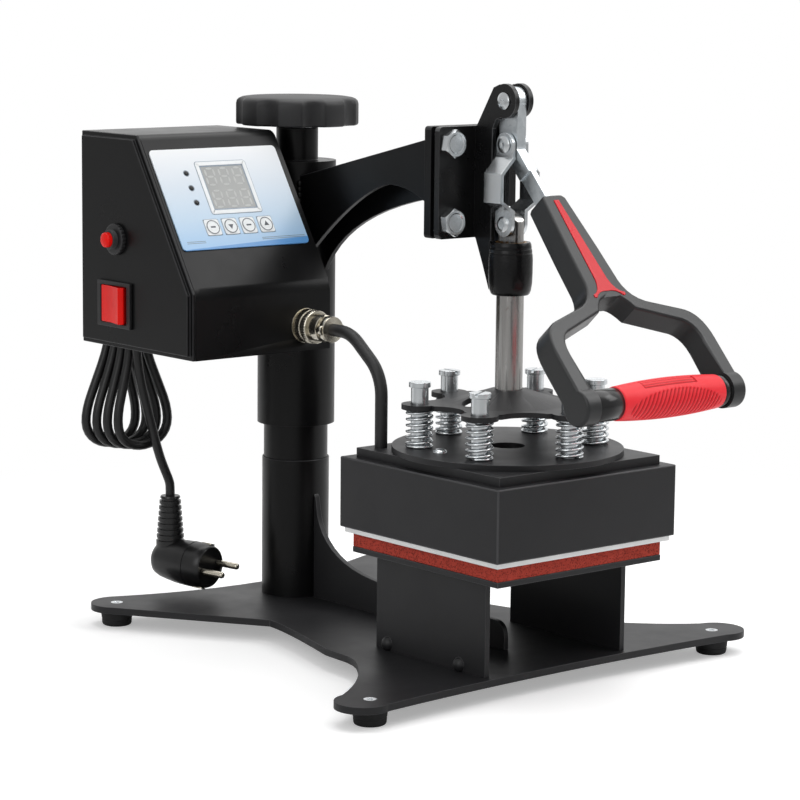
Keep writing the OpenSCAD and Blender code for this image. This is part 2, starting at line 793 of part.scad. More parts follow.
inner_half = head_side / 2 - head_wall - 0.4;

module insulation_block() {
  color("#d8d2c0") home() translate([-inner_half, -inner_half, plate_z + plate_t])
    cube([2 * inner_half, 2 * inner_half, head_z + head_h - head_wall - plate_z - plate_t]);
}

module heating_plate() {
  color("#c9cbcc") home() translate([-inner_half, -inner_half, plate_z])
    cube([2 * inner_half, 2 * inner_half, plate_t]);
}

socket_r = 9.5;
ring_len = 12.9;
plug_end_y = 116.5;
plug_barrel_y = 125;
lead_dip = 37.2;
lead_bend = 30;
lead_turn_y = 97.2;
lead_drop_y = lead_in_y;
lead_drop_z = socket_z - (lead_turn_y - lead_drop_y) * tan(lead_dip);
first_cut = lead_bend * tan(lead_dip / 2);
second_cut = lead_bend * tan((90 - lead_dip) / 2);

// Heater lead: straight out of its plug, over in two bends, and straight down into the head
function bend_points(y, z, from, to, n) = [for (i = [0:n]) let(a = from + (to - from) * i / n)
  [lead_in_x, y + lead_bend * cos(a), z + lead_bend * sin(a)]];
heater_run = concat(
  [[lead_in_x, plug_end_y, socket_z]],
  bend_points(lead_turn_y + first_cut, socket_z - lead_bend, 90, 90 + lead_dip, 4),
  bend_points(lead_drop_y + lead_bend, lead_drop_z - second_cut, 90 + lead_dip, 180, 5),
  [[lead_in_x, lead_drop_y, lead_drop_z - second_cut - 15],
  [lead_in_x, lead_drop_y, disc_z]]);

module heater_lead() {
  color("#141415") home() tube(heater_run, lead_r, 10, [0, -1, 0], [0, 0, -1]);
}

module lead_socket() {
  color("#c6c3b8") home() {
    along_y(socket_x, box_front - 10, socket_z, socket_r, 10);
    along_y(socket_x, box_front - 2, socket_z, 12.4, 2);
    along_y(socket_x, box_front, socket_z, socket_r - 1, 8);
  }
}

module coupling_ring() {
  color("#c6c3b8") home() difference() {
    along_y(socket_x, box_front - 2.3 - ring_len, socket_z, 12, ring_len);
    along_y(socket_x, box_front - 3.3 - ring_len, socket_z, socket_r + fit_gap, ring_len + 2);
    for (i = [0:11]) translate([socket_x, box_front - 3.3 - ring_len, socket_z]) rotate([-90, 0, 0])
      rotate(30 * i) translate([12.6, 0, 0]) cylinder(r = 1.2, h = ring_len + 2);
  }
}

module lead_plug() {
  color("#c6c3b8") home() {
    along_y(socket_x, plug_barrel_y, socket_z, socket_r, box_front - 10.2 - plug_barrel_y);
    along_y(socket_x, plug_barrel_y - 5, socket_z, 8, 6);
    along_y(socket_x, plug_end_y, socket_z, 9.2, 8);
    for (s = [-1, 1]) along_y(socket_x + s * 8, plug_end_y + 1, socket_z, 3.4, 5);
  }
}

function wedge(d) = [[box_front + d, box_low + d], [box_back - d, box_low + d],
  [box_back - d, box_top - d],
  [box_front + d / sin(slope_a) + (box_top - d - chin_z) / tan(slope_a), box_top - d],
  [box_front + d, chin_z + (d - d / sin(slope_a)) * tan(slope_a)]];

window_x = -114.5;
window_y = 62.5;
window_w = 38.4;
window_h = 35.8;
key_size = 12.4;
key_y = 49.6;
key_xs = [-121, -105.5, -90, -74.5];
led_x = -127;
led_ys = [69.5, 81, 92.7];
rocker_y = 238.5;
rocker_z = 244.7;
rocker_len = 31;
rocker_h = 26;
reset_y = 237;
reset_z = 291;
hole_r = 6;

module front_holes(z, h) {
  translate([window_x, window_y, z]) cube([window_w, window_h, h]);
  for (x = key_xs) translate([x - key_size / 2 - 0.2, key_y - key_size / 2 - 0.2, z])
    cube([key_size + 0.4, key_size + 0.4, h]);
  for (y = led_ys) translate([led_x, y, z]) cylinder(r = 2, h = h);
}

gland_x = -62;
gland_z = 327;

module box_shell() {
  color("#19191a") home() difference() {
    side_plate(box_left + cover_t, box_w - cover_t) polygon(wedge(0));
    side_plate(box_left + cover_t - 1, box_w - cover_t - sheet_t + 1) polygon(wedge(sheet_t));
    slope_space() front_holes(-3, 6);
    along_y(socket_x, box_front - 1, socket_z, socket_r - 1, 4);
    along_y(gland_x, box_back - 3, gland_z, hole_r, 6);
  }
}

module box_side_cover() {
  color("#19191a") home() difference() {
    union() {
      side_plate(box_left, cover_t - 2.4) polygon(wedge(3.2));
      side_plate(box_left + cover_t - 2.4, 2.4) polygon(wedge(0));
    }
    side_plate(box_left + 1.6, cover_t) polygon(wedge(5));
    translate([box_left - 1, rocker_y - 18, rocker_z - 15]) cube([8, 36, 30]);
    along_x(box_left - 1, reset_y, reset_z, 7, 8);
  }
}

module fascia_panel() {
  color("#7fb2e0") home() slope_space() difference() {
    translate([box_left + cover_t + 2.5, 33, 0]) cube([label_w, label_h, 1]);
    front_holes(-1, 4);
  }
}

module display_window() {
  color("#6f7a78") home() slope_space() translate([window_x, window_y, -1.5])
    cube([window_w, window_h, 3]);
}

board_z = -12;

module circuit_board() {
  color("#2f6b3a") home() slope_space() {
    translate([-132, 36, board_z]) cube([70, 70, 1.6]);
    for (x = [-129, -65], y = [39, 103]) translate([x, y, board_z + 1])
      cylinder(r = 2.5, h = -sheet_t - board_z - 1);
    for (y = led_ys) translate([led_x, y, board_z + 1]) cylinder(r = 1.8, h = 0.2 - board_z);
    translate([-112, 66, board_z - 15]) cube([28, 20, 15.5]);
  }
}

module key(i) {
  color("#e8edf0") home() slope_space() translate([key_xs[i], key_y, 0]) {
    translate([-key_size / 2, -key_size / 2, -1.8]) cube([key_size, key_size, 3.2]);
    translate([0, 0, 1.3]) cylinder(r = 4.6, h = 0.5);
    translate([0, 0, board_z + 2.6]) cylinder(r = 2, h = -1.8 - board_z - 2.6 + 0.5);
  }
}

module key_1() {
  key(0);
}

module key_2() {
  key(1);
}

module key_3() {
  key(2);
}

module key_4() {
  key(3);
}

bezel_t = 2.5;
rocker_axis_x = box_left + 3;

module rocker_bezel() {
  color("#141415") home() difference() {
    union() {
      translate([box_left - bezel_t, rocker_y - 20, rocker_z - 16.3]) cube([bezel_t, 40, 32.6]);
      translate([box_left - 1, rocker_y - 18, rocker_z - 15]) cube([22, 36, 30]);
    }
    translate([box_left - bezel_t - 1, rocker_y - rocker_len / 2 - 0.4, rocker_z - rocker_h / 2 - gap])
      cube([14, rocker_len + 0.8, rocker_h + 2 * gap]);
  }
}

rocker_tilt = 9;
rocker_face = 8.2;

module rocker_button() {
  color("#e0141c") home() translate([rocker_axis_x, rocker_y, rocker_z - rocker_h / 2])
    rotate([0, 0, -rocker_tilt]) linear_extrude(rocker_h) intersection() {
      circle(r = rocker_len / 2);
      polygon([[-rocker_face, -18], [-rocker_face + 1.6, 0], [-rocker_face, 18], [4, 9], [4, -9]]);
    }
}

module reset_collar() {
  color("#131314") home() difference() {
    union() {
      along_x(box_left - 3.4, reset_y, reset_z, 11.2, 3.4);
      along_x(box_left - 7.4, reset_y, reset_z, 7, 26);
    }
    along_x(box_left - 8, reset_y, reset_z, 5.3 + fit_gap, 20);
  }
}

module reset_button() {
  color("#d4161c") home() along_x(box_left - 11, reset_y, reset_z, 5.3, 20);
}

// Mains cord: out of the gland, round the loops of the hank, and down to the plug
hank_x = -101.5;
hank_z = 222;
hank_y = box_back + 45;
layer = 7.9;
waist = 4.4;
lobe_wide = 58;
fan_first = -8;
fan_step = 3.2;
climb_from = 20;
climb_to = 65;
loop_rings = 24;
gland_len = 12;
hank_bend = 28;

function climb(a) = let(t = min(max((a - climb_from) / (climb_to - climb_from), 0), 1)) t * t * (3 - 2 * t);
function hank_point(t) = let(k = floor(t), a = 360 * (t - k), s = k + climb(a),
  side = -sin(a) * (lobe_wide - (lobe_wide - waist) * sin(a) * sin(a)), down = hank_half * cos(a),
  f = fan_first + fan_step * s)
  [hank_x + side * cos(f) - down * sin(f), hank_y - layer * s, hank_z + down * cos(f) + side * sin(f)];
hank_run = concat(
  [[gland_x, box_back + gland_len, gland_z], [gland_x, box_back + gland_len + cord_d, gland_z]],
  [for (a = [22.5:22.5:67.5])
    [gland_x - hank_bend * (1 - cos(a)), hank_y - hank_bend * (1 - sin(a)), gland_z]],
  [for (i = [1:loop_rings * hank_loops + 6]) hank_point(i / loop_rings)]);
hank_end = hank_run[len(hank_run) - 1];
hank_down = hank_end - hank_run[len(hank_run) - 2];
lead_points = [
  hank_end,
  hank_end + [0, 0, -7],
  [-106, 290, 203],
  [-104.6, 290, 190],
  [-102, 290, 176],
  [-98, 290, 162],
  [-93.5, 290, 147],
  [-89.5, 290, 133],
  [-85, 290, 119],
  [-80, 290, 108],
  [-76.8, 290, 101],
  [-76, 290, 97],
  [-76, 290, 90]
];

function unit(v) = v / norm(v);
function way(path, i) = unit(path[min(i + 1, len(path) - 1)] - path[max(i - 1, 0)]);
function ring_at(path, i, r, sides, first, last) = let(
  d = i == 0 ? first : (i == len(path) - 1 ? last : way(path, i)),
  u = unit(cross(d, abs(d[1]) > 0.8 ? [1, 0, 0] : [0, 1, 0])), w = cross(d, u))
  [for (j = [0:sides - 1]) path[i] + r * (cos(360 * j / sides) * u + sin(360 * j / sides) * w)];

module tube(path, r, sides, first, last) {
  points = [for (i = [0:len(path) - 1]) each ring_at(path, i, r, sides, first, last)];
  polyhedron(points = points, faces = [for (f = tube_faces(len(path), sides)) [f[2], f[1], f[0]]]);
}

// Least gap of the hank to itself, measured between its points and printed
far_apart = 5;
hank_gap = min([for (i = [0:len(hank_run) - 1 - far_apart], j = [i + far_apart:len(hank_run) - 1])
  norm(hank_run[i] - hank_run[j])]) - cord_d;
spring_gap = (spring_h - wire_d - 0.2) / (spring_turns - 2 * flat_turn) - wire_d;
hank_length = [for (i = [1:len(hank_run) - 1]) norm(hank_run[i] - hank_run[i - 1])];
lead_length = [for (i = [1:len(lead_points) - 1]) norm(lead_points[i] - lead_points[i - 1])];
function total(v, i = 0) = i < len(v) ? v[i] + total(v, i + 1) : 0;
echo(hank_gap = hank_gap, spring_gap = spring_gap, cord_length = total(hank_length) + total(lead_length));

module cord_gland() {
  color("#101011") home() {
    along_y(gland_x, box_back - 6, gland_z, hole_r, 8);
    along_y(gland_x, box_back, gland_z, 9, 4);
    translate([gland_x, box_back + 4, gland_z]) rotate([-90, 0, 0])
      cylinder(r1 = 6.5, r2 = cord_d / 2 + 1, h = gland_len - 4);
  }
}

module cord_hank() {
  color("#121213") home() tube(hank_run, cord_d / 2, 6, [0, 1, 0], hank_down / norm(hank_down));
}

tie_wall = 1.6;
tie_h = 12;
tie_half = waist + cord_d / 2 + 3.4;

module cord_tie() {
  y0 = box_back + 0.1;
  y1 = hank_y + cord_d / 2 + gap + tie_wall;
  color("#1a1a1b") home() difference() {
    translate([hank_x - tie_half - tie_wall, y0, hank_z - tie_h / 2])
      cube([2 * (tie_half + tie_wall), y1 - y0, tie_h]);
    translate([hank_x - tie_half, y0 + tie_wall, hank_z - tie_h])
      cube([2 * tie_half, y1 - y0 - 2 * tie_wall, 2 * tie_h]);
  }
}

module cord_lead() {
  color("#121213") home() tube(lead_points, cord_d / 2, 8, hank_down / norm(hank_down), [0, 0, -1]);
}

relief_x = lead_points[len(lead_points) - 1][0];
relief_y = lead_points[len(lead_points) - 1][1];
relief_top = lead_points[len(lead_points) - 1][2];

module plug_space() {
  translate([relief_x, relief_y, plug_z]) rotate([0, 0, -plug_turn]) rotate([0, plug_droop, 0]) children();
}

module plug_body() {
  color("#121213") home() {
    plug_space() rotate([0, 90, 0]) rotate_extrude() polygon([[0, -12], [9, -12], [13, -8],
      [plug_r - 0.6, 10], [plug_r, 22], [plug_r, plug_len - 6], [plug_face_r + 1, plug_len - 2],
      [plug_face_r, plug_len], [0, plug_len]]);
    translate([relief_x, relief_y, plug_z]) cylinder(r1 = 11, r2 = 8, h = relief_top - plug_z);
  }
}

module plug_pins() {
  color("#c9b27a") home() plug_space() for (s = [-1, 1])
    translate([plug_len, s * pin_apart / 2, s * pin_low / 2]) rotate([0, 90, 0])
      cylinder(r = 2.4, h = 19);
}

base_plate();
rubber_feet();
foot_screws();
base_rib();
stand_legs();
lower_plate();
silicone_pad();
post_tube();
inner_post();
thrust_washer();
adjusting_knob();
adjusting_screw();
swing_sleeve();
sleeve_cap();
arm_plates();
arm_end_plate();
toggle_flange();
toggle_plates();
flange_bolts();
guide_sleeve();
guide_bush();
toggle_pins();
lever_bar();
handle_frame();
handle_inlay();
grip_sleeve();
toggle_links();
plunger_rod();
spring_plate();
compression_springs();
spring_posts();
spring_disc();
disc_screws();
platen_top_plate();
platen_housing();
insulation_block();
heating_plate();
heater_lead();
lead_socket();
coupling_ring();
lead_plug();
box_shell();
box_side_cover();
fascia_panel();
display_window();
circuit_board();
key_1();
key_2();
key_3();
key_4();
rocker_bezel();
rocker_button();
reset_collar();
reset_button();
cord_gland();
cord_hank();
cord_tie();
cord_lead();
plug_body();
plug_pins();
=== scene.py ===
import json
from math import atan2, cos, hypot, pi, radians, sin, sqrt

import bmesh
import bpy
from mathutils import Matrix, Vector, noise
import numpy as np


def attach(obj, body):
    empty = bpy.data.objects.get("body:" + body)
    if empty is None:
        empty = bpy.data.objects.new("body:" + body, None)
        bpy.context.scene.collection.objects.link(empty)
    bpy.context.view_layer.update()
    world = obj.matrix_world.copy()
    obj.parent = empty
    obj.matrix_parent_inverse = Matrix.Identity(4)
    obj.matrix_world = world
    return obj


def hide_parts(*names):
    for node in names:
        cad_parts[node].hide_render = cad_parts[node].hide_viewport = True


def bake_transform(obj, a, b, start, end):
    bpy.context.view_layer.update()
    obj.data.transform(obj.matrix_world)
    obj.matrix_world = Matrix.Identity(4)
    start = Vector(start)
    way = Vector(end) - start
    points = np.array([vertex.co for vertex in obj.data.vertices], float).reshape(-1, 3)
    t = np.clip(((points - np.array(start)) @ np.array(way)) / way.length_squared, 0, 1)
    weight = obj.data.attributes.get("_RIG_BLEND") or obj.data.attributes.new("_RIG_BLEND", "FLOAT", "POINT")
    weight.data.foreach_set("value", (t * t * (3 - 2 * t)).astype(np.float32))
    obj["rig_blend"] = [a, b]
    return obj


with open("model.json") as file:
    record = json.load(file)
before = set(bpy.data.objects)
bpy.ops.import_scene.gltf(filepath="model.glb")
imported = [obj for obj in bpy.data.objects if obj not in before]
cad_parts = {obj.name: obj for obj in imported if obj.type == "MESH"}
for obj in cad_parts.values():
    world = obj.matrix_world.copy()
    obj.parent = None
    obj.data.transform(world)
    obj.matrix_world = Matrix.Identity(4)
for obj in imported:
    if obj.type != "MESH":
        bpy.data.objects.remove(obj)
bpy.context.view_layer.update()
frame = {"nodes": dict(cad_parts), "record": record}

# The studio: a white sweep with one broad softbox overhead and two small ones, at
# the left and the front right. The camera stands low at the front left, as in a
# catalogue photograph taken from two metres with a long lens.
def linear(code):
    """An sRGB hex colour as the linear red, green, blue and alpha that a shader takes."""
    parts = [int(code[i:i + 2], 16) / 255 for i in (1, 3, 5)]
    return [p / 12.92 if p <= 0.04045 else ((p + 0.055) / 1.055) ** 2.4 for p in parts] + [1]


def plug_in(node, sockets):
    """Sets a node's sockets: a value is stored, another node's output is linked."""
    for name, value in sockets.items():
        if isinstance(value, bpy.types.NodeSocket):
            node.id_data.links.new(value, node.inputs[name])
        else:
            node.inputs[name].default_value = value
    return node


def add(owner, kind, sockets=None, **settings):
    """Adds one shader node to a material or world, with its settings and links."""
    node = owner.node_tree.nodes.new("ShaderNode" + kind)
    for name, value in settings.items():
        setattr(node, name, value)
    return plug_in(node, sockets or {})


def texture(owner, kind, result="Fac", **sockets):
    """One result of a texture laid out in the piece's own metres."""
    where = add(owner, "TexCoord")
    sockets["Vector"] = where.outputs["Object"]
    return add(owner, "Tex" + kind, sockets).outputs[result]


def blended(owner, share, low, high):
    """A colour from low to high, each a hex colour or another node's output."""
    low, high = (linear(c) if isinstance(c, str) else c for c in (low, high))
    return add(owner, "Mix", {0: share, 6: low, 7: high}, data_type="RGBA").outputs[2]


def ranged(owner, value, low, high, first=0.0, last=1.0, ease="LINEAR"):
    """A value that runs from low to high while the given one runs from first to last."""
    return add(owner, "MapRange", {"Value": value, "From Min": first, "From Max": last,
                                   "To Min": low, "To Max": high},
               interpolation_type=ease).outputs[0]


def combined(owner, operation, a, b):
    """Two values made one: their product, difference or the greater of them."""
    return add(owner, "Math", {0: a, 1: b}, operation=operation).outputs[0]


def bumped(owner, height, strength, metres):
    """A relief of the surface, so deep."""
    return add(owner, "Bump", {"Height": height, "Strength": strength,
                               "Distance": metres}).outputs[0]


SMOOTH = "SMOOTHSTEP"
WHITE = linear("#ffffff")
LENS_MM = 129.86
CAMERA_PLACE = (-1.3109, -1.5158, 0.4921)
MACHINE_MIDDLE = Vector((0, 0, 0.18))

scene = bpy.context.scene
scene.view_settings.view_transform = "Standard"

yaw, pitch, roll = radians(40.1), radians(-8.8), radians(0.6)
ahead = Vector((sin(yaw) * cos(pitch), cos(yaw) * cos(pitch), sin(pitch)))
level = Vector((cos(yaw), -sin(yaw), 0))
over = level.cross(ahead)
camera = bpy.data.objects.new("camera", bpy.data.cameras.new("camera"))
camera.data.sensor_width = 36
camera.data.lens = LENS_MM
right, up = level * cos(roll) + over * sin(roll), over * cos(roll) - level * sin(roll)
turned_to = Matrix((right, up, -ahead)).transposed().to_4x4()
camera.matrix_world = Matrix.Translation(CAMERA_PLACE) @ turned_to
scene.collection.objects.link(camera)
scene.camera = camera

world = bpy.data.worlds.new("white sweep")
scene.world = world
world.use_nodes = True
seen = add(world, "LightPath").outputs
way = add(world, "TexCoord").outputs["Generated"]
ahead_of = add(world, "VectorMath", {0: way, 1: (0.62, 0.74, 0.26)}, operation="DOT_PRODUCT")
backdrop = ranged(world, ahead_of.outputs["Value"], 0.5, 1.0, 0.45, 0.85, SMOOTH)
height = add(world, "SeparateXYZ", {0: way}).outputs["Z"]
room = combined(world, "MAXIMUM", backdrop, ranged(world, height, 0.0, 0.8, 0.25, 0.85, SMOOTH))
room = add(world, "Mix", {0: seen["Is Glossy Ray"], 2: 0.5, 3: room}).outputs[0]
plain = combined(world, "MAXIMUM", seen["Is Camera Ray"], seen["Is Transmission Ray"])
room = add(world, "Mix", {0: plain, 2: room, 3: 1.0}).outputs[0]
plug_in(world.node_tree.nodes["Background"], {"Color": WHITE, "Strength": room})

for name, watts, size, place in (("overhead", 21, 2.0, (0.3, 0.0, 1.7)),
                                 ("left", 5, 1.0, (-1.5, -0.5, 0.9)),
                                 ("front right", 5, 0.8, (1.0, -0.85, 1.2))):
    lamp = bpy.data.objects.new(name, bpy.data.lights.new(name, "AREA"))
    lamp.data.energy = watts
    lamp.data.size = size
    lamp.location = place
    aim = (MACHINE_MIDDLE - Vector(place)).to_track_quat("-Z", "Y")
    lamp.rotation_euler = aim.to_euler()
    scene.collection.objects.link(lamp)

sweep = bmesh.new()
bmesh.ops.create_grid(sweep, x_segments=1, y_segments=1, size=6)
floor_mesh = bpy.data.meshes.new("floor")
sweep.to_mesh(floor_mesh)
floor = bpy.data.objects.new("floor", floor_mesh)
scene.collection.objects.link(floor)
paper = bpy.data.materials.new("white_paper_sweep")
paper.use_nodes = True
sheet = plug_in(paper.node_tree.nodes["Principled BSDF"],
                {"Roughness": 0.9, "Specular IOR Level": 0.1})
seen = add(paper, "LightPath").outputs
where = add(paper, "TexCoord").outputs["Object"]
behind = add(paper, "VectorMath", {0: where, 1: (0.64, 0.77, 0.0)}, operation="DOT_PRODUCT")
behind = ranged(paper, behind.outputs["Value"], 0.0, 1.0, 0.15, -0.35, SMOOTH)
dim = combined(paper, "MULTIPLY", behind, seen["Is Glossy Ray"])
plug_in(sheet, {"Base Color": blended(paper, dim, "#f2f2f2", "#c4c4c4")})
lift = combined(paper, "MULTIPLY", seen["Is Camera Ray"], 0.34)
bright = add(paper, "Emission", {"Color": WHITE, "Strength": lift})
near = add(paper, "AddShader", {0: sheet.outputs[0], 1: bright.outputs[0]})
away = add(paper, "VectorMath", {0: where}, operation="LENGTH")
far = ranged(paper, away.outputs["Value"], 0.0, 1.0, 0.36, 0.8, SMOOTH)
far = combined(paper, "MULTIPLY", far, seen["Is Camera Ray"])
open_white = add(paper, "Emission", {"Color": WHITE, "Strength": 1.0})
both = add(paper, "MixShader", {0: far, 1: near.outputs[0], 2: open_white.outputs[0]})
plug_in(paper.node_tree.nodes["Material Output"], {"Surface": both.outputs[0]})
floor.data.materials.append(paper)

# The base plate, rib, table legs and table: laser-cut mild steel, welded together
# and sprayed as one with satin black polyester powder, baked on. Pieces are drawn
# in the machine's own millimetres, or copied from the frame, then put in the row.
ROW = Matrix.Translation((0, -0.0738975, 0)) @ Matrix.Diagonal((0.001, 0.001, 0.001, 1))
body_with = {node: body for body, held in frame["record"]["behaviour"]["bodies"].items()
             for node in held}


def new_material(name):
    """A material named for the real one, with its shader."""
    made = bpy.data.materials.new(name)
    made.use_nodes = True
    return made, made.node_tree.nodes["Principled BSDF"]


def from_frame(node):
    """A copy of a CAD node's mesh, its loose triangles merged and its flats made whole."""
    bm = bmesh.new()
    bm.from_mesh(frame["nodes"][node].data)
    bmesh.ops.remove_doubles(bm, verts=bm.verts, dist=2e-6)
    bmesh.ops.dissolve_limit(bm, angle_limit=radians(0.7), verts=bm.verts, edges=bm.edges)
    bmesh.ops.transform(bm, matrix=ROW.inverted(), verts=bm.verts)
    return bm


def soften(bm, width, steps=2, over=28, only=None, clamp=True):
    """Rounds the sharp edges and marks the rounding, which the black paints show paler,
    as wear and as a painted highlight.
    """
    mark = bm.faces.layers.float.get("edge") or bm.faces.layers.float.new("edge")
    sharp = [e for e in bm.edges if e.is_manifold and e.calc_face_angle(0) > radians(over)
             and (only is None or only(e))]
    made = bmesh.ops.bevel(bm, geom=sharp, offset=width, offset_type="OFFSET", segments=steps,
                           profile=0.5, affect="EDGES", clamp_overlap=clamp, material=-1)
    for face in made["faces"]:
        face[mark] = 1
    return bm


def even_shading(mesh, smooth):
    """Flat faces keep their own direction, and the roundings beside them run into it."""
    around = [[] for _ in mesh.vertices]
    for face in mesh.polygons:
        for v in face.vertices:
            around[v].append((face.normal.copy(), face.area ** 2))
    limit = cos(radians(smooth))
    directions = []
    for face in mesh.polygons:
        own = face.normal.copy()
        for v in face.vertices:
            total = Vector()
            for normal, weight in around[v]:
                if normal.dot(own) > limit:
                    total += normal * weight
            directions.append(total.normalized() if total.length_squared > 1e-40 else own)
    mesh.normals_split_custom_set(directions)


def finish(bm, name, material, *stands_for, smooth=46, body=None, parent_free=False):
    """Makes the drawn shape a piece of the machine, on its body, in place of its CAD nodes."""
    bmesh.ops.transform(bm, matrix=ROW, verts=bm.verts)
    mesh = bpy.data.meshes.new(name)
    softened = bm.faces.layers.float.get("edge")
    bm.to_mesh(mesh)
    bm.free()
    mesh.shade_smooth()
    if softened:
        even_shading(mesh, smooth)
    else:
        mesh.set_sharp_from_angle(angle=radians(smooth))
    mesh.materials.append(material)
    piece = bpy.data.objects.new(name, mesh)
    scene.collection.objects.link(piece)
    if stands_for:
        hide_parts(*stands_for)
    if not parent_free:
        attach(piece, body or body_with[stands_for[0]])
    return piece


def edge_wear_and_highlight(owner, cloud):
    """Patches along the softened edges, where the paint is thin and worn, and where a
    painted highlight lies.
    """
    edge_mark = add(owner, "Attribute", attribute_name="edge")
    return combined(owner, "MULTIPLY", edge_mark.outputs["Fac"], cloud)


def sprayed(name, low, high, cloud, sheen, peel, bump, specular):
    """A black paint: cloudy sheen, pale edges of wear and painted highlight, and an orange
    peel. Cloud is a noise's scale and detail, sheen two roughnesses, peel a scale and
    bump its strength and depth."""
    made, skin = new_material(name)
    haze = texture(made, "Noise", Scale=cloud[0], Detail=cloud[1], Roughness=0.6)
    ripple = texture(made, "Noise", Scale=peel, Detail=2.0)
    plug_in(skin, {"Base Color": blended(made, edge_wear_and_highlight(made, haze), low, high),
                   "Roughness": ranged(made, haze, *sheen, 0.3, 0.7),
                   "Normal": bumped(made, ripple, *bump), "Specular IOR Level": specular})
    return made


def cloudy(name, low, high, cloud, sheen, relief=None, metallic=0.0, specular=0.5):
    """A material that drifts between two colours and two roughnesses with a cloudy noise
    of a scale and detail. Its relief, a strength and a depth, is a finer texture's, or
    the noise's own."""
    made, skin = new_material(name)
    haze = texture(made, "Noise", Scale=cloud[0], Detail=cloud[1])
    rough = ranged(made, haze, *sheen) if isinstance(sheen, tuple) else sheen
    plug_in(skin, {"Base Color": blended(made, haze, low, high), "Roughness": rough,
                   "Metallic": metallic, "Specular IOR Level": specular})
    if relief:
        grain, strength, metres = relief
        if grain:
            kind, scale, detail = grain
            result = "Distance" if kind == "Voronoi" else "Fac"
            haze = texture(made, kind, result, Scale=scale, Detail=detail)
        plug_in(skin, {"Normal": bumped(made, haze, strength, metres)})
    return made


def from_cad(node, suffix, material, width, steps=2):
    """A CAD node's own shape with its edges softened, as a piece named after it."""
    finish(soften(from_frame(node), width, steps), f"{node}_{suffix}", material, node)


# Sizes given below for real ripples, grains and pits are the usual ones of such a
# finish. They are estimates, and none was measured on this machine.

# Satin black powder coat: the baked powder leaves a fine orange peel, about 1 mm
# from crest to crest, drawn at 1.6 mm so that it shows. Its edges are paler, partly
# as thin, worn powder and partly as a painted highlight. Handling leaves faint cloudy
# scuffs a few centimetres wide.
powder_coat = sprayed("satin_black_powder_coat", "#1c1c1e", "#525254", (26.0, 5.0),
                      (0.4, 0.5), 620.0, (0.5, 0.00006), specular=0.38)

for node, width in (("base_plate", 0.7), ("base_rib", 0.5), ("stand_legs", 0.4),
                    ("lower_plate", 0.5)):
    from_cad(node, "painted", powder_coat, width)


def turned(profile, steps=72, closed=False):
    """A turned piece on the Z axis: its profile of radius and height, spun once round."""
    bm = bmesh.new()
    line = [bm.verts.new((r, 0, z)) for r, z in profile]
    edges = [bm.edges.new(pair) for pair in zip(line, line[1:] + line[:1] if closed else line[1:])]
    bmesh.ops.spin(bm, geom=line + edges, cent=(0, 0, 0), axis=(0, 0, 1), dvec=(0, 0, 0),
                   angle=2 * pi, steps=steps, use_merge=True)
    bmesh.ops.remove_doubles(bm, verts=bm.verts, dist=0.001)
    bmesh.ops.recalc_face_normals(bm, faces=bm.faces)
    return bm


def moved(bm, place):
    """The drawn shape, put somewhere else."""
    bmesh.ops.transform(bm, matrix=place, verts=bm.verts)
    return bm


def at(x, y, z):
    return Matrix.Translation((x, y, z))


def copies(bm, places):
    """The drawn shape once at each place."""
    first = bm.verts[:] + bm.edges[:] + bm.faces[:]
    sets = [first] + [bmesh.ops.duplicate(bm, geom=first)["geom"] for _ in places[1:]]
    for geom, place in zip(sets, places):
        bmesh.ops.transform(bm, matrix=place,
                            verts=[v for v in geom if isinstance(v, bmesh.types.BMVert)])
    return bm


def joined(*shapes):
    """Several drawn shapes as one."""
    bm = shapes[0]
    for other in shapes[1:]:
        mesh = bpy.data.meshes.new("part")
        other.to_mesh(mesh)
        other.free()
        bm.from_mesh(mesh)
        bpy.data.meshes.remove(mesh)
    return bm


# Four feet: moulded black rubber, a slight cone with a ring groove and a hollow
# underneath, held up against the plate by a countersunk screw from above.
rubber = cloudy("moulded_black_rubber", "#0d0d0e", "#1d1d1e",
                (90.0, 4.0), 0.72, (("Noise", 1400.0, 2.0), 0.5, 0.00005))

foot_places = [at(158, -46, 0), at(-158, -46, 0), at(128, 285, 0), at(-128, 285, 0)]
foot = turned([(0, 1.5), (6, 1.5), (6.6, 0), (9.4, 0), (10.3, 0.5), (10.8, 1.4), (11.1, 4.2),
               (10.8, 4.5), (10.8, 5.1), (11.2, 5.4), (11.8, 10.8), (11.6, 11.6), (2.6, 11.6),
               (2.6, 4), (0, 4)])
finish(copies(foot, foot_places), "moulded_feet", rubber, "rubber_feet")


def next_ring(bm, edges):
    """Draws a ring of edges on, and gives the new ring's points and edges."""
    made = bmesh.ops.extrude_edge_only(bm, edges=edges)["geom"]
    ring = [v for v in made if isinstance(v, bmesh.types.BMVert)]
    kept = set(ring)
    return ring, [e for e in made
                  if isinstance(e, bmesh.types.BMEdge) and kept.issuperset(e.verts)]


def risen(outlines, segments=96, closed=False):
    """A circle drawn up through outlines, each a height and a radius that may depend on
    the angle. It is capped at both ends, or else closed on itself like a ring."""
    bm = bmesh.new()
    bmesh.ops.create_circle(bm, cap_ends=not closed, segments=segments, radius=1)
    ring, edges, start = bm.verts[:], bm.edges[:], bm.edges[:]
    for count, (height, radius) in enumerate(outlines):
        if count:
            ring, edges = next_ring(bm, edges)
        for v in ring:
            a = atan2(v.co.y, v.co.x)
            r = radius(a) if callable(radius) else radius
            v.co = (r * cos(a), r * sin(a), height(a) if callable(height) else height)
    if closed:
        bmesh.ops.bridge_loops(bm, edges=edges + start)
    else:
        bmesh.ops.contextual_create(bm, geom=edges)
    bmesh.ops.recalc_face_normals(bm, faces=bm.faces)
    return bm


def cross_slot(length, half):
    """The outline of a cross recess: its radius at an angle."""
    def radius(a):
        turn = abs((a + pi / 4) % (pi / 2) - pi / 4)
        return min(length / cos(turn), half / max(sin(turn), 0.05))
    return radius


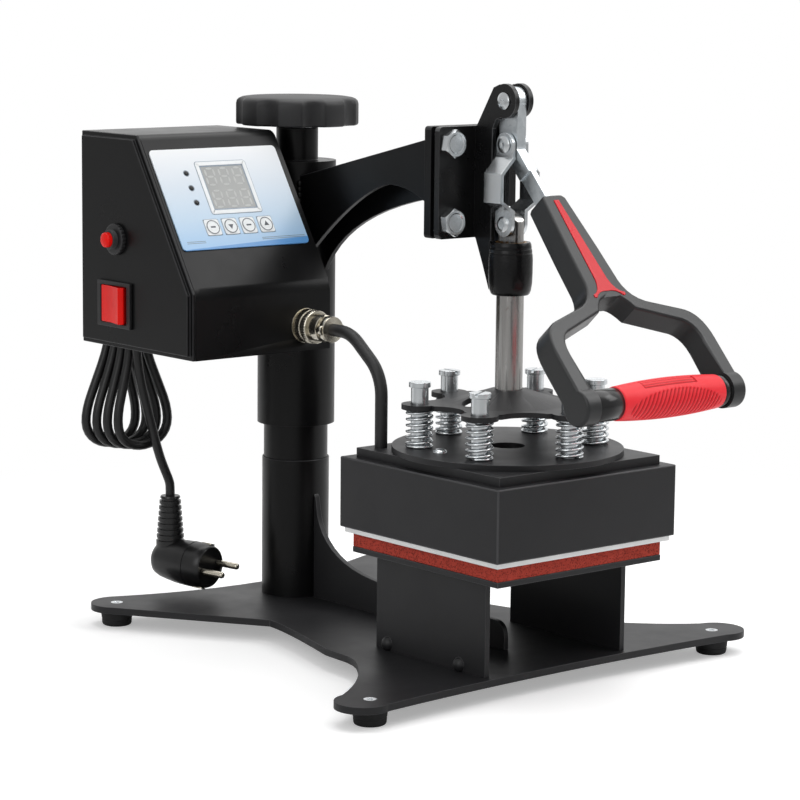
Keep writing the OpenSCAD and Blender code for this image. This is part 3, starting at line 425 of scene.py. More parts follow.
# Bright zinc: steel pressings, pins and screws barrel-plated and clear passivated,
# so they are silver with a faint blue cast, cloudy where parts rubbed in the barrel.
zinc = cloudy("bright_zinc_plate", "#cfd4d7", "#eaedef",
              (90.0, 3.0), (0.14, 0.3), (("Noise", 900.0, 3.0), 0.15, 0.00002), metallic=1.0)

# Countersunk machine screws, M5, flush with the top of the base.
sunk = risen([(4.6, 2.5), (14.6, 2.5), (16.2, 4.3), (16.5, 4.4), (16.5, 3.2),
              (16.45, cross_slot(2.4, 0.55)), (15.0, cross_slot(1.7, 0.4))])
finish(copies(sunk, foot_places), "countersunk_foot_screws", zinc, "foot_screws")

# The table's pad: a square of brick-red silicone sponge, die cut from sheet, with
# a soft open edge full of small pores, lying loose on the steel plate.
sponge, skin = new_material("red_silicone_sponge")
pores = texture(sponge, "Voronoi", "Distance", Scale=760.0, Randomness=1.0)
pits = ranged(sponge, pores, 0.0, 1.0, 0.08, 0.5)
blotch = texture(sponge, "Noise", Scale=320.0, Detail=5.0)
brick = blended(sponge, blotch, "#8e2c1f", "#b9473a")
# The pores are painted a darker red: painted shade inside the open cells.
pore_shaded = blended(sponge, pits, "#5c1a12", brick)
relief = bumped(sponge, pits, 0.8, 0.0004)
plug_in(skin, {"Base Color": pore_shaded, "Roughness": 0.88, "Normal": relief,
               "Specular IOR Level": 0.25})

pad = bmesh.new()
bmesh.ops.create_cube(pad, size=1,
                      matrix=at(0, 0, 91.55) @ Matrix.Diagonal((149.6, 149.6, 9.5, 1)))
bmesh.ops.subdivide_edges(pad, edges=pad.edges, cuts=11, use_grid_fill=True)
for v in pad.verts:
    spread = noise.noise(v.co * 0.05) * 0.25
    if abs(v.co.x) > 74:
        v.co.x += spread - 0.1
    if abs(v.co.y) > 74:
        v.co.y += spread - 0.1
soften(pad, 0.7, 2, over=60)
silicone_pad = finish(pad, "sponge_pad", sponge, "silicone_pad")

# The post, arm and box are sprayed with a glossier powder than the base: it levels
# out further in the oven, so it is a deeper black with softer, broader ripples. Real
# ones are about 2 mm apart and too shallow to see, so they are drawn 3 mm apart.
# Its softened edges are drawn paler too, as wear and as a painted highlight.
gloss_coat = sprayed("gloss_black_powder_coat", "#0a0a0b", "#3a3a3c", (22.0, 5.0),
                     (0.26, 0.36), 300.0, (0.4, 0.00005), specular=0.22)

# The post: a welded steel tube on the base, with the inner post standing in it.
# The inner post is what the arm's long sleeve slides on and swings round.
from_cad("post_tube", "painted", gloss_coat, 0.6)
from_cad("inner_post", "painted", gloss_coat, 0.4)
from_cad("thrust_washer", "plated", zinc, 0.3)

# The height knob: glass-filled nylon, moulded with eight finger hollows and a
# low dome. Its bushing turns the adjusting screw that carries the arm. The glass
# leaves a fine grain, drawn 1 mm across here, since the real one would vanish.
nylon = cloudy("moulded_black_nylon", "#151516", "#232325",
               (40.0, 4.0), (0.4, 0.56), (("Voronoi", 1100.0, 0.0), 0.35, 0.00008))

KNOB_R = 45.0


def lobed(share, radius=KNOB_R):
    """The knob's outline: eight round hollows, a share of their full depth."""
    def outline(a):
        off = (a % (pi / 4)) - pi / 8
        hollow = max(0.0, 1 - (off / 0.19) ** 2)
        return radius - 3.4 * share * sqrt(hollow) * hollow ** 0.25
    return outline


POST_Y = 235.4
knob = moved(risen([(0, 40), (0, lobed(1, 43.6)), (0.5, lobed(1, 44.6)), (1.6, lobed(1)),
                    (12, lobed(1)), (15.4, lobed(0.95)), (17.6, lobed(0.75, 44.4)),
                    (19, lobed(0.45, 43)), (20, lobed(0.15, 40.6)), (20.5, 37), (20.8, 31),
                    (20.95, 20), (21, 8)], 256), at(0, POST_Y, 367.2))
finish(knob, "moulded_knob", nylon, "adjusting_knob", smooth=50)
crests = [(8 - 0.9 * (i % 2), 266 + i * 0.75) for i in range(142)]
thread = turned([(0, 265), *crests, (0, 372.6)], 40)
finish(moved(thread, at(0, POST_Y, 0)), "adjusting_screw_thread", zinc, "adjusting_screw")

# The arm: a long sleeve round the post, its turned cap, and two laser-cut plates
# with a deep curve below, welded on by hand and painted with the rest.
for node, width in (("swing_sleeve", 0.7), ("sleeve_cap", 0.6), ("arm_plates", 0.5)):
    from_cad(node, "painted", gloss_coat, width)

beads = bmesh.new()
for i in range(15):
    size = 2.4 + 0.9 * noise.noise(Vector((i * 0.7, 0, 0)))
    bead = at(-16.6 + 0.6 * noise.noise(Vector((0, i * 0.9, 0))), 211.2, 268 + i * 4.1)
    bmesh.ops.create_icosphere(beads, subdivisions=2, radius=1,
                               matrix=bead @ Matrix.Diagonal((size, size * 0.9, size * 1.15, 1)))
finish(beads, "arm_weld_beads", gloss_coat, body="arm", smooth=80)

# The end plate of the arm and the toggle clamp's own flange: 6 and 4 mm plate
# with rounded corners, pulled together by four M10 bolts.
FLANGE_X, FLANGE_FRONT, FLANGE_Z = -5, 29, 339


def flange_corner(e):
    """The four upright corners of a flange, 70 mm wide and 76 mm high."""
    a, b = (v.co for v in e.verts)
    return (abs(a.y - b.y) > 3 and abs(abs(a.x - FLANGE_X) - 35) < 4
            and abs(abs(a.z - FLANGE_Z) - 38) < 4)


end_plate = soften(from_frame("arm_end_plate"), 2.5, 4, only=flange_corner)
finish(soften(end_plate, 0.5), "arm_end_plate_painted", gloss_coat, "arm_end_plate")

# The toggle clamp is dipped in a glossier black than the machine it bolts to: an
# electrocoat, thin and even, that leaves edges and punched holes crisp.
e_coat, skin = new_material("black_electrocoat")
cloud = texture(e_coat, "Noise", Scale=60.0, Detail=4.0)
sheen = ranged(e_coat, cloud, 0.2, 0.36)
# Its softened edges are drawn paler, partly as worn coat and partly as a painted highlight.
worn_and_highlit_edges = edge_wear_and_highlight(e_coat, cloud)
black = blended(e_coat, worn_and_highlit_edges, "#0e0e0f", "#6b6c6e")
ripple = texture(e_coat, "Noise", Scale=380.0)
relief = bumped(e_coat, ripple, 0.3, 0.00005)
plug_in(skin, {"Base Color": black, "Roughness": sheen,
               "Normal": relief, "Specular IOR Level": 0.38})

clamp_flange = soften(from_frame("toggle_flange"), 3.0, 4, only=flange_corner)
finish(soften(clamp_flange, 0.7, 3), "toggle_flange_coated", e_coat, "toggle_flange")
from_cad("toggle_plates", "coated", e_coat, 0.4)

# M10 hexagon bolts, cold headed and zinc plated: a chamfered hexagon over a round
# washer face, and a rolled thread that runs into the tapped end plate.
HEX = 9.8


def hexagon(a):
    return HEX * cos(pi / 6) / cos((a % (pi / 3)) - pi / 6)


def hexagon_drop(top):
    return lambda a: top - (hexagon(a) - HEX * cos(pi / 6) * 0.97) * 0.62


FLAT = HEX * cos(pi / 6) * 0.97
bolt_head = risen([(0, 8.1), (0.3, 8.1), (0.3, hexagon), (hexagon_drop(6.6), hexagon), (6.6, FLAT),
                   (6.6, 6.6), (6.25, 5.9), (6.25, 1.5)], 96)
crests = [(5 - 0.5 * (i % 2), -3 - i * 0.6) for i in range(18)]
bolt_shank = turned([(0, 0), (5, 0), (5, -3), *crests, (4.2, -14.8), (0, -14.8)], 40)
bolt = moved(joined(bolt_head, bolt_shank), Matrix.Rotation(pi / 2, 4, "X"))
bolt_places = [at(FLANGE_X + i * 25, FLANGE_FRONT, FLANGE_Z + j * 26.5)
               @ Matrix.Rotation(pi / 6 + 0.1 * j - 0.25 * max(i, 0), 4, "Y")
               for i in (-1, 1) for j in (-1, 1)]
finish(copies(bolt, bolt_places), "flange_bolts_plated", zinc, "flange_bolts", smooth=22)

# The rod's guide: a sleeve swollen in the middle, pressed over a sintered bronze
# bush and dipped in black PVC, with a few raised rings at its top.
guide = turned([(11.0, 264), (12.4, 264), (13.2, 264.8), (14.1, 267), (14.9, 272), (15.1, 279),
                (15.1, 288), (14.8, 292), (14.5, 292.2), (14.5, 292.8), (14.7, 293), (14.4, 295),
                (14.1, 295.2), (14.1, 295.8), (14.2, 296), (13.9, 298.4), (13.2, 299.8),
                (11.0, 299.8)], 96, closed=True)
# Dipped PVC has a wet gloss and small pinched dents where the bath drained off.
dipped = cloudy("glossy_dipped_pvc", "#070708", "#101011",
                (40.0, 3.0), (0.2, 0.32), (("Noise", 150.0, 2.0), 0.6, 0.0005), specular=0.28)
finish(guide, "guide_sleeve_dipped", dipped, "guide_sleeve")

bronze, skin = new_material("sintered_bronze")
pores = texture(bronze, "Voronoi", "Distance", Scale=1500.0)
tint = blended(bronze, pores, "#6b4a22", "#b58a4a")
relief = bumped(bronze, pores, 0.5, 0.00008)
plug_in(skin, {"Base Color": tint, "Metallic": 1.0, "Roughness": 0.42, "Normal": relief})
from_cad("guide_bush", "sintered", bronze, 0.3)

# The plunger rod: centreless-ground round bar with two milled flats, lightly
# oiled. Grinding leaves fine rings, and handling a few brown rust freckles.
ground, skin = new_material("ground_steel_bar")
where = add(ground, "TexCoord").outputs["Object"]
drawn_out = add(ground, "Mapping", {"Vector": where, "Scale": (1.0, 1.0, 0.03)}).outputs[0]
streak = add(ground, "TexNoise", {"Vector": drawn_out, "Scale": 420.0, "Detail": 4.0})
streak = streak.outputs["Fac"]
rust = texture(ground, "Noise", Scale=130.0, Detail=6.0, Roughness=0.7)
freckle = ranged(ground, rust, 0.0, 0.55, 0.6, 0.72)
aged = blended(ground, freckle, blended(ground, streak, "#8f8c89", "#cbcac8"), "#6d5344")
sheen = ranged(ground, streak, 0.14, 0.38)
relief = bumped(ground, streak, 0.3, 0.00005)
plug_in(skin, {"Base Color": aged, "Metallic": 1.0, "Roughness": sheen, "Normal": relief})
from_cad("plunger_rod", "ground", ground, 0.5)

# The toggle's links and pins: pressed strips with a joggle between their ends, and
# riveted pins with low domed heads, all zinc plated.
from_cad("toggle_links", "plated", zinc, 0.5, 3)
CLAMP_PIVOT_Z, LEVER_PIVOT_Z = 394.9, 365.7
pins = []
for height, half in ((CLAMP_PIVOT_Z, 8.3), (LEVER_PIVOT_Z, 7.6)):
    for side in (-1, 1):
        head = turned([(0, -half), (4, -half), (4, 0), (5.5, 0), (5.9, 0.2), (5.8, 0.8),
                       (4.6, 1.4), (2.6, 1.8), (1.2, 1.75), (0.6, 1.5), (0, 1.4)], 40)
        sideways = Matrix.Rotation(side * pi / 2, 4, "Y")
        pins.append(moved(head, at(side * half, 0, height) @ sideways))
finish(joined(*pins), "toggle_pins_plated", zinc, "toggle_pins")

# The lever: a bar of hot-dip galvanised strip, forged wide at the pivots, that
# runs down inside the moulded handle. The spangle of the zinc is about 1 mm across
# on this thin coat, and is drawn at 3 mm so that it doesn't vanish.
galvanised, skin = new_material("galvanised_strip")
tint = blended(galvanised, texture(galvanised, "Voronoi", "Color", Scale=330.0),
               "#c6cdd1", "#dfe4e7")
sheen = ranged(galvanised, texture(galvanised, "Voronoi", "Distance", Scale=330.0), 0.28, 0.38)
relief = bumped(galvanised, texture(galvanised, "Noise", Scale=700.0), 0.25, 0.00003)
plug_in(skin, {"Base Color": tint, "Metallic": 1.0, "Roughness": sheen, "Normal": relief})
from_cad("lever_bar", "galvanised", galvanised, 0.5)

# The handle: a deep D of grey-black glass-filled ABS, moulded round the lever, its
# front edges broken by a wide chamfer. The mould was spark eroded, which leaves a
# satin skin of pits about 0.2 mm apart, drawn 1 mm apart because finer ones vanish.
abs_grey = cloudy("satin_grey_black_abs", "#1a1b1c", "#252627",
                  (34.0, 4.0), (0.3, 0.42), (("Noise", 950.0, 3.0), 0.5, 0.00007))
LEVER_LEAN, GRIP_OUT = 42.35, 210.5
HANDLE = at(0, 0, LEVER_PIVOT_Z) @ Matrix.Rotation(radians(90 - LEVER_LEAN), 4, "X")
back_to_handle = HANDLE.inverted()


def on_strip(p):
    """Whether a point is on the rim of the groove that takes the red strip."""
    half = 2.2 + 3.2 * min(max((-55 - p.y) / 66, 0), 1) if p.y > -121 else 14.2
    return p.z > 8.9 and -135.2 < p.y < -52 and abs(p.x) <= half + 0.6


def on_faces(e):
    """Edges of the handle's faces and bosses, where the mould broke the corner."""
    ends = [back_to_handle @ v.co for v in e.verts]
    if all(abs(hypot(p.y + GRIP_OUT, p.z) - 12) < 0.15 and abs(abs(p.x) - 72) < 0.1 for p in ends):
        return True
    return all(abs(abs(p.z) - 9) < 0.05 for p in ends) and not all(on_strip(p) for p in ends)


shell = soften(from_frame("handle_frame"), 2.0, 3, over=50, only=on_faces, clamp=False)
finish(shell, "handle_moulding", abs_grey, "handle_frame", smooth=38)

# The red strip let into the handle's face: glossy ABS coloured in the mass.
red_abs = cloudy("glossy_red_abs", "#c60f1a", "#d81e2b",
                 (70.0, 3.0), (0.18, 0.32), (None, 0.2, 0.0002), specular=0.25)
finish(soften(from_frame("handle_inlay"), 0.25), "handle_strip", red_abs, "handle_inlay")

# The grip: soft red thermoplastic rubber moulded over the bar. Curved ribs fill a
# lens on its lower front, and a plain panel with lines is sunk above them. Its matt
# skin is drawn coarser than the real one, at 1 mm.
soft_red, skin = new_material("soft_red_rubber")
matt = texture(soft_red, "Noise", Scale=800.0, Detail=2.0)
cloud = texture(soft_red, "Noise", Scale=50.0, Detail=3.0)
tone = blended(soft_red, cloud, "#e81c28", "#f63a44")
# The ribs' grooves and the panel's sunk lines are painted a darker red by how deep each point is sunk:
# painted shade in the recesses.
rib = add(soft_red, "Attribute", attribute_name="rib")
groove_shaded = blended(soft_red, rib.outputs["Fac"], tone, "#b40d18")
relief = bumped(soft_red, matt, 0.4, 0.00006)
plug_in(skin, {"Base Color": groove_shaded, "Roughness": 0.42, "Normal": relief,
               "Specular IOR Level": 0.3})

GRIP = HANDLE @ at(0, -GRIP_OUT, 0)
GRIP_LEFT, GRIP_RIGHT = -38.0, 54.0
middle, half_span = (GRIP_LEFT + GRIP_RIGHT) / 2, (GRIP_RIGHT - GRIP_LEFT) / 2


def grip_radius(x):
    t = (x - GRIP_LEFT) / (GRIP_RIGHT - GRIP_LEFT)
    return (1 - t) ** 2 * 11.1 + 2 * t * (1 - t) * 15.3 + t ** 2 * 11.1


profile = [(6, GRIP_LEFT), (10.6, GRIP_LEFT), (11.0, GRIP_LEFT + 0.4)]
profile += [(grip_radius(x), x) for x in [GRIP_LEFT + 1 + i * 0.45 for i in range(201)]]
profile += [(11.0, GRIP_RIGHT - 0.4), (10.6, GRIP_RIGHT), (6, GRIP_RIGHT)]
grip = moved(turned(profile, 150, closed=True), Matrix.Rotation(pi / 2, 4, "Y"))
depth = grip.verts.layers.float.new("rib")
for v in grip.verts:
    x, r = v.co.x, hypot(v.co.y, v.co.z)
    if r < 10.5 or not GRIP_LEFT + 1.5 < x < GRIP_RIGHT - 1.5:
        continue
    # the angle round the bar from straight down, positive to the front
    turn = atan2(v.co.z, -v.co.y) - radians(28)
    along = (x - middle) / (half_span - 4)
    lens = 1 - along ** 2 - ((turn + 0.02) / 1.0) ** 2
    sunk = 0.0
    if lens > 0:
        wave = 0.5 + 0.5 * cos((x - 4.5 * turn - 2.5 * turn ** 2) * 2 * pi / 3.5)
        sunk = 1.0 * min(1, lens * 8) * wave ** 2.2
    panel = abs(x - 5) < 24 and abs(turn - 1.5) < 0.3
    if panel and (abs(abs(x - 5) - 23.3) < 0.6
                  or min(abs(turn - 1.5 - k) for k in (-0.26, -0.09, 0.09, 0.26)) < 0.045):
        sunk = 0.8
    v[depth] = min(sunk, 1)
    v.co.y *= (r - sunk) / r
    v.co.z *= (r - sunk) / r
finish(moved(grip, GRIP), "ribbed_grip", soft_red, "grip_sleeve", smooth=60)

# Black collars of polished ABS close the grip at both ends and hide the bar.
polished = cloudy("polished_black_abs", "#0c0c0d", "#161617",
                  (90.0, 3.0), (0.16, 0.28), (None, 0.2, 0.0001))
collars = [turned([(9, start), (10.2, start), (10.55, start + 0.4), (10.55, end - 0.4),
                   (10.2, end), (9, end)], 72, closed=True)
           for start, end in ((-59.6, -38.2), (54.2, 59.6))]
finish(moved(joined(*collars), GRIP @ Matrix.Rotation(pi / 2, 4, "Y")), "grip_collars", polished,
       body="handle")

# The spring plate and disc: pressed steel, the upper one dished up to the rod and
# cut into six lobes, the lower one flat, both powder coated.
from_cad("spring_plate", "painted", powder_coat, 0.6)
from_cad("spring_disc", "painted", powder_coat, 0.6)
from_cad("spring_posts", "plated", zinc, 0.5)

# Six compression springs: 2 mm music wire, coiled with closed ends, zinc plated.
# Each stands round its post between the two plates.
coil = bmesh.new()
bmesh.ops.create_circle(coil, cap_ends=True, segments=12, radius=1.0,
                        matrix=at(8.5, 0, 161.1) @ Matrix.Rotation(pi / 2, 4, "X"))
tip = coil.verts[:] + coil.edges[:]
bmesh.ops.delete(coil, geom=coil.faces[:], context="FACES_ONLY")
for turns, rise in ((0.6, 0.0), (5.8, 24.3), (0.6, 0.0)):
    steps = round(turns * 30)
    made = bmesh.ops.spin(coil, geom=tip, cent=(0, 0, 0), axis=(0, 0, 1),
                          dvec=(0, 0, rise / steps), angle=turns * 2 * pi, steps=steps)
    tip = made["geom_last"]
bmesh.ops.holes_fill(coil, edges=[e for e in coil.edges if e.is_boundary], sides=0)
bmesh.ops.recalc_face_normals(coil, faces=coil.faces)
ring_places = [Matrix.Rotation(radians(30 + 60 * i), 4, "Z") @ at(61.5, 0, 0) for i in range(6)]
springs = finish(copies(coil, ring_places), "wire_springs", zinc, "compression_springs", smooth=80,
                 parent_free=True)
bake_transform(springs, "platen", "plunger", start=(0, 0, 0.1605), end=(0, 0, 0.186))

# Pan-head cross screws that hold the disc to the head.
pan = risen([(-5.3, 2), (0, 2), (0, 4.7), (0.5, 4.8), (1.4, 4.4), (2.1, 3.6), (2.5, 2.9),
             (2.45, cross_slot(2.3, 0.5)), (1.0, cross_slot(1.7, 0.4))], 64)
screw_places = [Matrix.Rotation(radians(a), 4, "Z") @ at(57, 0, 160) for a in (175, 355)]
finish(copies(pan, screw_places), "disc_screws_plated", zinc, "disc_screws")

# The heated head: a folded and welded steel cover with a plate on top, ceramic
# wool under it, and a cast aluminium heating plate that shows as a pale line.
finish(soften(from_frame("platen_top_plate"), 0.7), "head_top_plate", powder_coat,
       "platen_top_plate")
finish(soften(from_frame("platen_housing"), 1.2, 3), "head_cover", powder_coat, "platen_housing")

wool = cloudy("ceramic_wool", "#b9b2a0", "#efe9db",
              (260.0, 8.0), 0.95, (None, 0.9, 0.0006))
finish(soften(from_frame("insulation_block"), 1.5, 3), "wool_block", wool, "insulation_block")

aluminium, skin = new_material("machined_cast_aluminium")
sweep_marks = texture(aluminium, "Wave", "Fac", Scale=160.0, Distortion=1.5, Detail=2.0)
cloud = texture(aluminium, "Noise", Scale=60.0, Detail=4.0)
tone = blended(aluminium, cloud, "#dfe0e1", "#f6f6f5")
relief = bumped(aluminium, sweep_marks, 0.3, 0.00006)
plug_in(skin, {"Base Color": tone, "Metallic": 0.5, "Roughness": 0.42, "Normal": relief})
finish(soften(from_frame("heating_plate"), 0.5), "cast_heating_plate", aluminium, "heating_plate")

# The heater lead's connector: a chassis socket, a plug with a cord clamp, and a
# knurled ring that screws them together, all nickel plated brass.
nickel = cloudy("nickel_plated_brass", "#b9b3a4", "#e2dccd",
                (200.0, 3.0), (0.12, 0.28), (None, 0.2, 0.0001), metallic=1.0)

TOWARDS_BOX = Matrix.Rotation(-pi / 2, 4, "X")
LEAD_X, LEAD_Z, BOX_FRONT = -60, 231.8, 149.7
LEAD_AXIS = at(LEAD_X, 0, LEAD_Z) @ TOWARDS_BOX
crests = [(9.3 - 0.5 * (i % 2), 0.4 + i * 0.5) for i in range(15)]
socket = turned([(0, -10), (9.5, -10), (9.5, -2), (12.3, -2), (12.4, -1.8), (12.4, -0.3),
                 (12.2, 0), (9.4, 0), *crests, (8.6, 8), (0, 8)], 64)
finish(moved(socket, at(LEAD_X, BOX_FRONT, LEAD_Z) @ TOWARDS_BOX), "chassis_socket", nickel,
       "lead_socket")


def knurled(a):
    return 11.75 + 0.25 * cos(40 * a)


rims = [(134.5, 9.6), (134.5, 11.2), (134.9, 11.6), (135.6, knurled), (139.6, knurled),
        (140.0, 11.2), (140.8, 11.2), (141.2, knurled), (146.4, knurled), (147.0, 11.6),
        (147.4, 11.2), (147.4, 9.6)]
finish(moved(risen(rims, 240, closed=True), LEAD_AXIS), "coupling_ring_knurled", nickel,
       "coupling_ring", smooth=40)

plug_shell = turned([(0, 116.5), (5.0, 116.5), (5.4, 116.6), (9.0, 116.8), (9.2, 117.2),
                     (9.2, 122.4), (8.8, 122.8), (8.0, 122.9), (8.0, 124.9), (9.0, 125),
                     (9.5, 125.4), (9.5, 139.3), (0, 139.5)], 64)
lug = [(0, 117.5), (3.2, 117.5), (3.4, 117.8), (3.4, 122.2), (3.1, 122.5), (0, 122.5)]
clamp = [moved(turned(lug, 24), at(x, 0, 0)) for x in (-8, 8)]
finish(moved(joined(plug_shell, *clamp), LEAD_AXIS), "lead_plug_shell", nickel,
       "lead_plug")

# The control box: a folded sheet-steel shell with a sloping front and a separate
# side cover with a stepped rim, powder coated like the arm that carries it.
def fold(e):
    """The two blunt folds above and below the sloping front."""
    a, b = (v.co for v in e.verts)
    return abs(a.x - b.x) > 0.95 * e.calc_length() and e.calc_face_angle(0) < radians(70)


pressed = soften(from_frame("box_shell"), 5, 6, only=fold)
for face in pressed.faces:
    face[pressed.faces.layers.float["edge"]] = 0
finish(soften(pressed, 1.2, 3, over=40), "box_shell_painted", gloss_coat, "box_shell")
from_cad("box_side_cover", "painted", gloss_coat, 0.6, 2)

# The control label: printed polyester film with rounded corners, white at the top
# and sky blue at the foot, with a deeper blue wedge along its lower edge.
label, skin = new_material("printed_polyester_film")
place = add(label, "TexCoord").outputs["Object"]
place = add(label, "SeparateXYZ", {0: place}).outputs
climb = ranged(label, place["Z"], 0.0, 1.0, 0.2875, 0.3542)
shade = add(label, "ValToRGB", {"Fac": climb})
ramp = shade.color_ramp
ramp.elements[0].color = linear("#93bbe0")
ramp.elements[1].color = linear("#e4e6e8")
ramp.elements.new(0.3).color = linear("#b3cade")
ramp.elements.new(0.65).color = linear("#cbd5df")
across = ranged(label, place["X"], 0.015, 0.075, -0.152, -0.042)
band = ranged(label, combined(label, "SUBTRACT", across, climb), 0.0, 1.0, -0.004, 0.004)
ink = blended(label, band, shade.outputs[0], "#5893cd")
dots = texture(label, "Noise", Scale=500.0)
relief = bumped(label, dots, 0.25, 0.00004)
plug_in(skin, {"Base Color": ink, "Roughness": 0.3, "Normal": relief})

SLOPE_A = atan2(105.3, 67)
SLOPE = at(0, BOX_FRONT, 259.7) @ Matrix.Rotation(SLOPE_A, 4, "X")
back_to_slope = SLOPE.inverted()


def label_corner(e):
    a, b = (back_to_slope @ v.co for v in e.verts)
    near = [abs(p.x - x) < 0.1 and abs(p.y - y) < 0.1 for p in (a, b)
            for x in (-151.9, -41.9) for y in (33, 112)]
    return sum(near) == 2 and abs(a.z - b.z) > 0.9


film = soften(from_frame("fascia_panel"), 3.2, 6, only=label_corner)
finish(film, "control_label", label, "fascia_panel")


def tile(x, y, w, h, corner, low, high, wide=0):
    """A flat tile with round corners in the slope's own axes, or a frame so wide."""
    bm = bmesh.new()
    bmesh.ops.create_grid(bm, x_segments=1, y_segments=1, size=0.5,
                          matrix=at(x, y, low) @ Matrix.Diagonal((w, h, 1, 1)))
    bmesh.ops.bevel(bm, geom=bm.verts, offset=corner, offset_type="OFFSET", segments=5,
                    profile=0.5, affect="VERTICES", material=-1)
    if wide:
        middle = bm.faces[:]
        bmesh.ops.inset_region(bm, faces=middle, thickness=wide, use_boundary=True,
                               use_even_offset=True)
        bmesh.ops.delete(bm, geom=middle, context="FACES")
    top = bmesh.ops.extrude_face_region(bm, geom=bm.faces[:], use_keep_orig=True)["geom"]
    bmesh.ops.translate(bm, vec=(0, 0, high - low),
                        verts=[v for v in top if isinstance(v, bmesh.types.BMVert)])
    bmesh.ops.recalc_face_normals(bm, faces=bm.faces)
    return bm


# The display: a smoked acrylic window with a pale frame round it, over two rows of
# three unlit seven-segment digits.
acrylic = cloudy("smoked_acrylic", "#868887", "#979997",
                 (80.0, 2.0), (0.14, 0.24))
DISPLAY_X, DISPLAY_Y = -95.3, 80.4
finish(moved(tile(DISPLAY_X, DISPLAY_Y, 37.8, 35.2, 0.4, -1.4, 1.02), SLOPE),
       "display_window_smoked", acrylic, "display_window")

pale = cloudy("pale_grey_polycarbonate", "#d7dbdd", "#eceeef",
              (150.0, 2.0), (0.26, 0.4))
finish(moved(tile(DISPLAY_X, DISPLAY_Y, 43.8, 41.2, 1.9, 0.9, 1.3, wide=2.9), SLOPE),
       "display_frame", pale, body="arm")

segments = []
for row in (89.2, 71.6):
    for column in (-107.2, -95.3, -83.4):
        for x, y, turn in ((0, 6.4, 0), (0, 0, 0), (0, -6.4, 0), (-3.6, 3.2, 90), (3.6, 3.2, 90),
                           (-3.6, -3.2, 90), (3.6, -3.2, 90)):
            bar = bmesh.new()
            bmesh.ops.create_circle(bar, cap_ends=True, segments=6, radius=1,
                                    matrix=at(column + x + y * 0.1, row + y, 1.05)
                                    @ Matrix.Rotation(radians(turn), 4, "Z")
                                    @ Matrix.Diagonal((2.85, 0.9, 1, 1)))
            segments.append(bar)

# An unlit segment shows as a shade paler than the tinted resin it is cast in.
resin = cloudy("tinted_epoxy", "#a2a4a3", "#b0b2b0", (300.0, 2.0), 0.3)
finish(moved(joined(*segments), SLOPE), "unlit_digits", resin, body="arm")

# Lamps and label print: three dark indicator lamps on their own board, seen in
# holes of the label, and thin printed rules round the keys and along the foot. The
# copper tracks of the board are drawn as a coarse brick pattern under its mask.
board, skin = new_material("green_solder_mask")
where = add(board, "TexCoord")
tracks = add(board, "TexBrick", {"Vector": where.outputs["Object"], "Scale": 120.0,
                                 "Color1": linear("#1c5a34"), "Color2": linear("#236b3e"),
                                 "Mortar": linear("#2f8350"), "Mortar Size": 0.03})
plug_in(skin, {"Base Color": tracks.outputs[0], "Roughness": 0.35})
finish(soften(from_frame("circuit_board"), 0.2), "control_board", board, "circuit_board")

# This grey is the ink of the printed rules, and also a painted shade rim round the display window.
print_and_shade_grey = cloudy("grey_screen_print", "#6d7c8c", "#8b99a8", (900.0, 2.0), 0.4)
prints_and_shade_rim = [tile(x, y, length, 0.5, 0.1, 0.99, 1.03)
          for x, length in ((-63, 38), (-139, 16)) for y in (39.4, 38.2)]
# Of the two rings round the display, the outer is a printed outline and the inner is painted shade: a grey
# rim along the window's edge, where the frame's inner wall shades it.
prints_and_shade_rim += [tile(DISPLAY_X, DISPLAY_Y, 44.8, 42.2, 2.3, 0.99, 1.08, wide=0.5),
           tile(DISPLAY_X, DISPLAY_Y, 37.9, 35.3, 0.3, 1.0, 1.12, wide=0.9)]

key_ink = cloudy("dark_grey_screen_print", "#3a3f45", "#555b62", (900.0, 2.0), 0.4)

# Four keys: polycarbonate film domed over the switches, each a rounded square with
# a ring, and a plain bar, arrow down, bar or arrow up printed inside.
KEY_Y, MARK_Z = 49.6, 1.84
for number, x in enumerate((-121, -105.5, -90, -74.5), start=1):
    here = at(x, KEY_Y, 0)
    dome = turned([(0, 1.3), (5.4, 1.3), (5.4, 1.6), (5.2, 1.75), (4.7, 1.75), (4.5, 1.6),
                   (3.6, 1.72), (0, 1.8)], 48)
    stem = turned([(0, -9.4), (2, -9.4), (2, -1.6), (0, -1.6)], 24)
    key = joined(tile(x, KEY_Y, 12.2, 12.2, 1.6, -1.7, 1.35), moved(dome, here),
                 moved(stem, here))
    finish(moved(key, SLOPE), f"key_{number}_film", pale, f"key_{number}")
    prints_and_shade_rim.append(tile(x, KEY_Y, 13.2, 13.2, 1.9, 0.99, 1.05, wide=0.45))
    mark = bmesh.new()
    if number % 2:
        bmesh.ops.create_grid(mark, x_segments=1, y_segments=1, size=0.5,
                              matrix=at(x, KEY_Y, MARK_Z) @ Matrix.Diagonal((4.2, 1.2, 1, 1)))
    else:
        turn = Matrix.Rotation(pi if number == 2 else 0, 4, "Z")
        bmesh.ops.create_circle(mark, cap_ends=True, segments=3, radius=2.5,
                                matrix=at(x, KEY_Y, MARK_Z) @ turn)
    rim = turned([(4.75, 1.72), (5.35, 1.72), (5.35, 1.8), (4.75, 1.8)], 40, closed=True)
    finish(moved(joined(mark, moved(rim, here)), SLOPE), f"key_{number}_mark", key_ink,
           body=f"key_{number}")
lamp_places = [at(-127, y, 0) for y in (69.5, 81, 92.7)]
for place in lamp_places:
    ring = turned([(2.0, 1.0), (2.5, 1.0), (2.5, 1.04), (2.0, 1.04)], 32, closed=True)
    prints_and_shade_rim.append(moved(ring, place))
finish(moved(joined(*prints_and_shade_rim), SLOPE), "label_rules_and_shade_rim", print_and_shade_grey, body="arm")

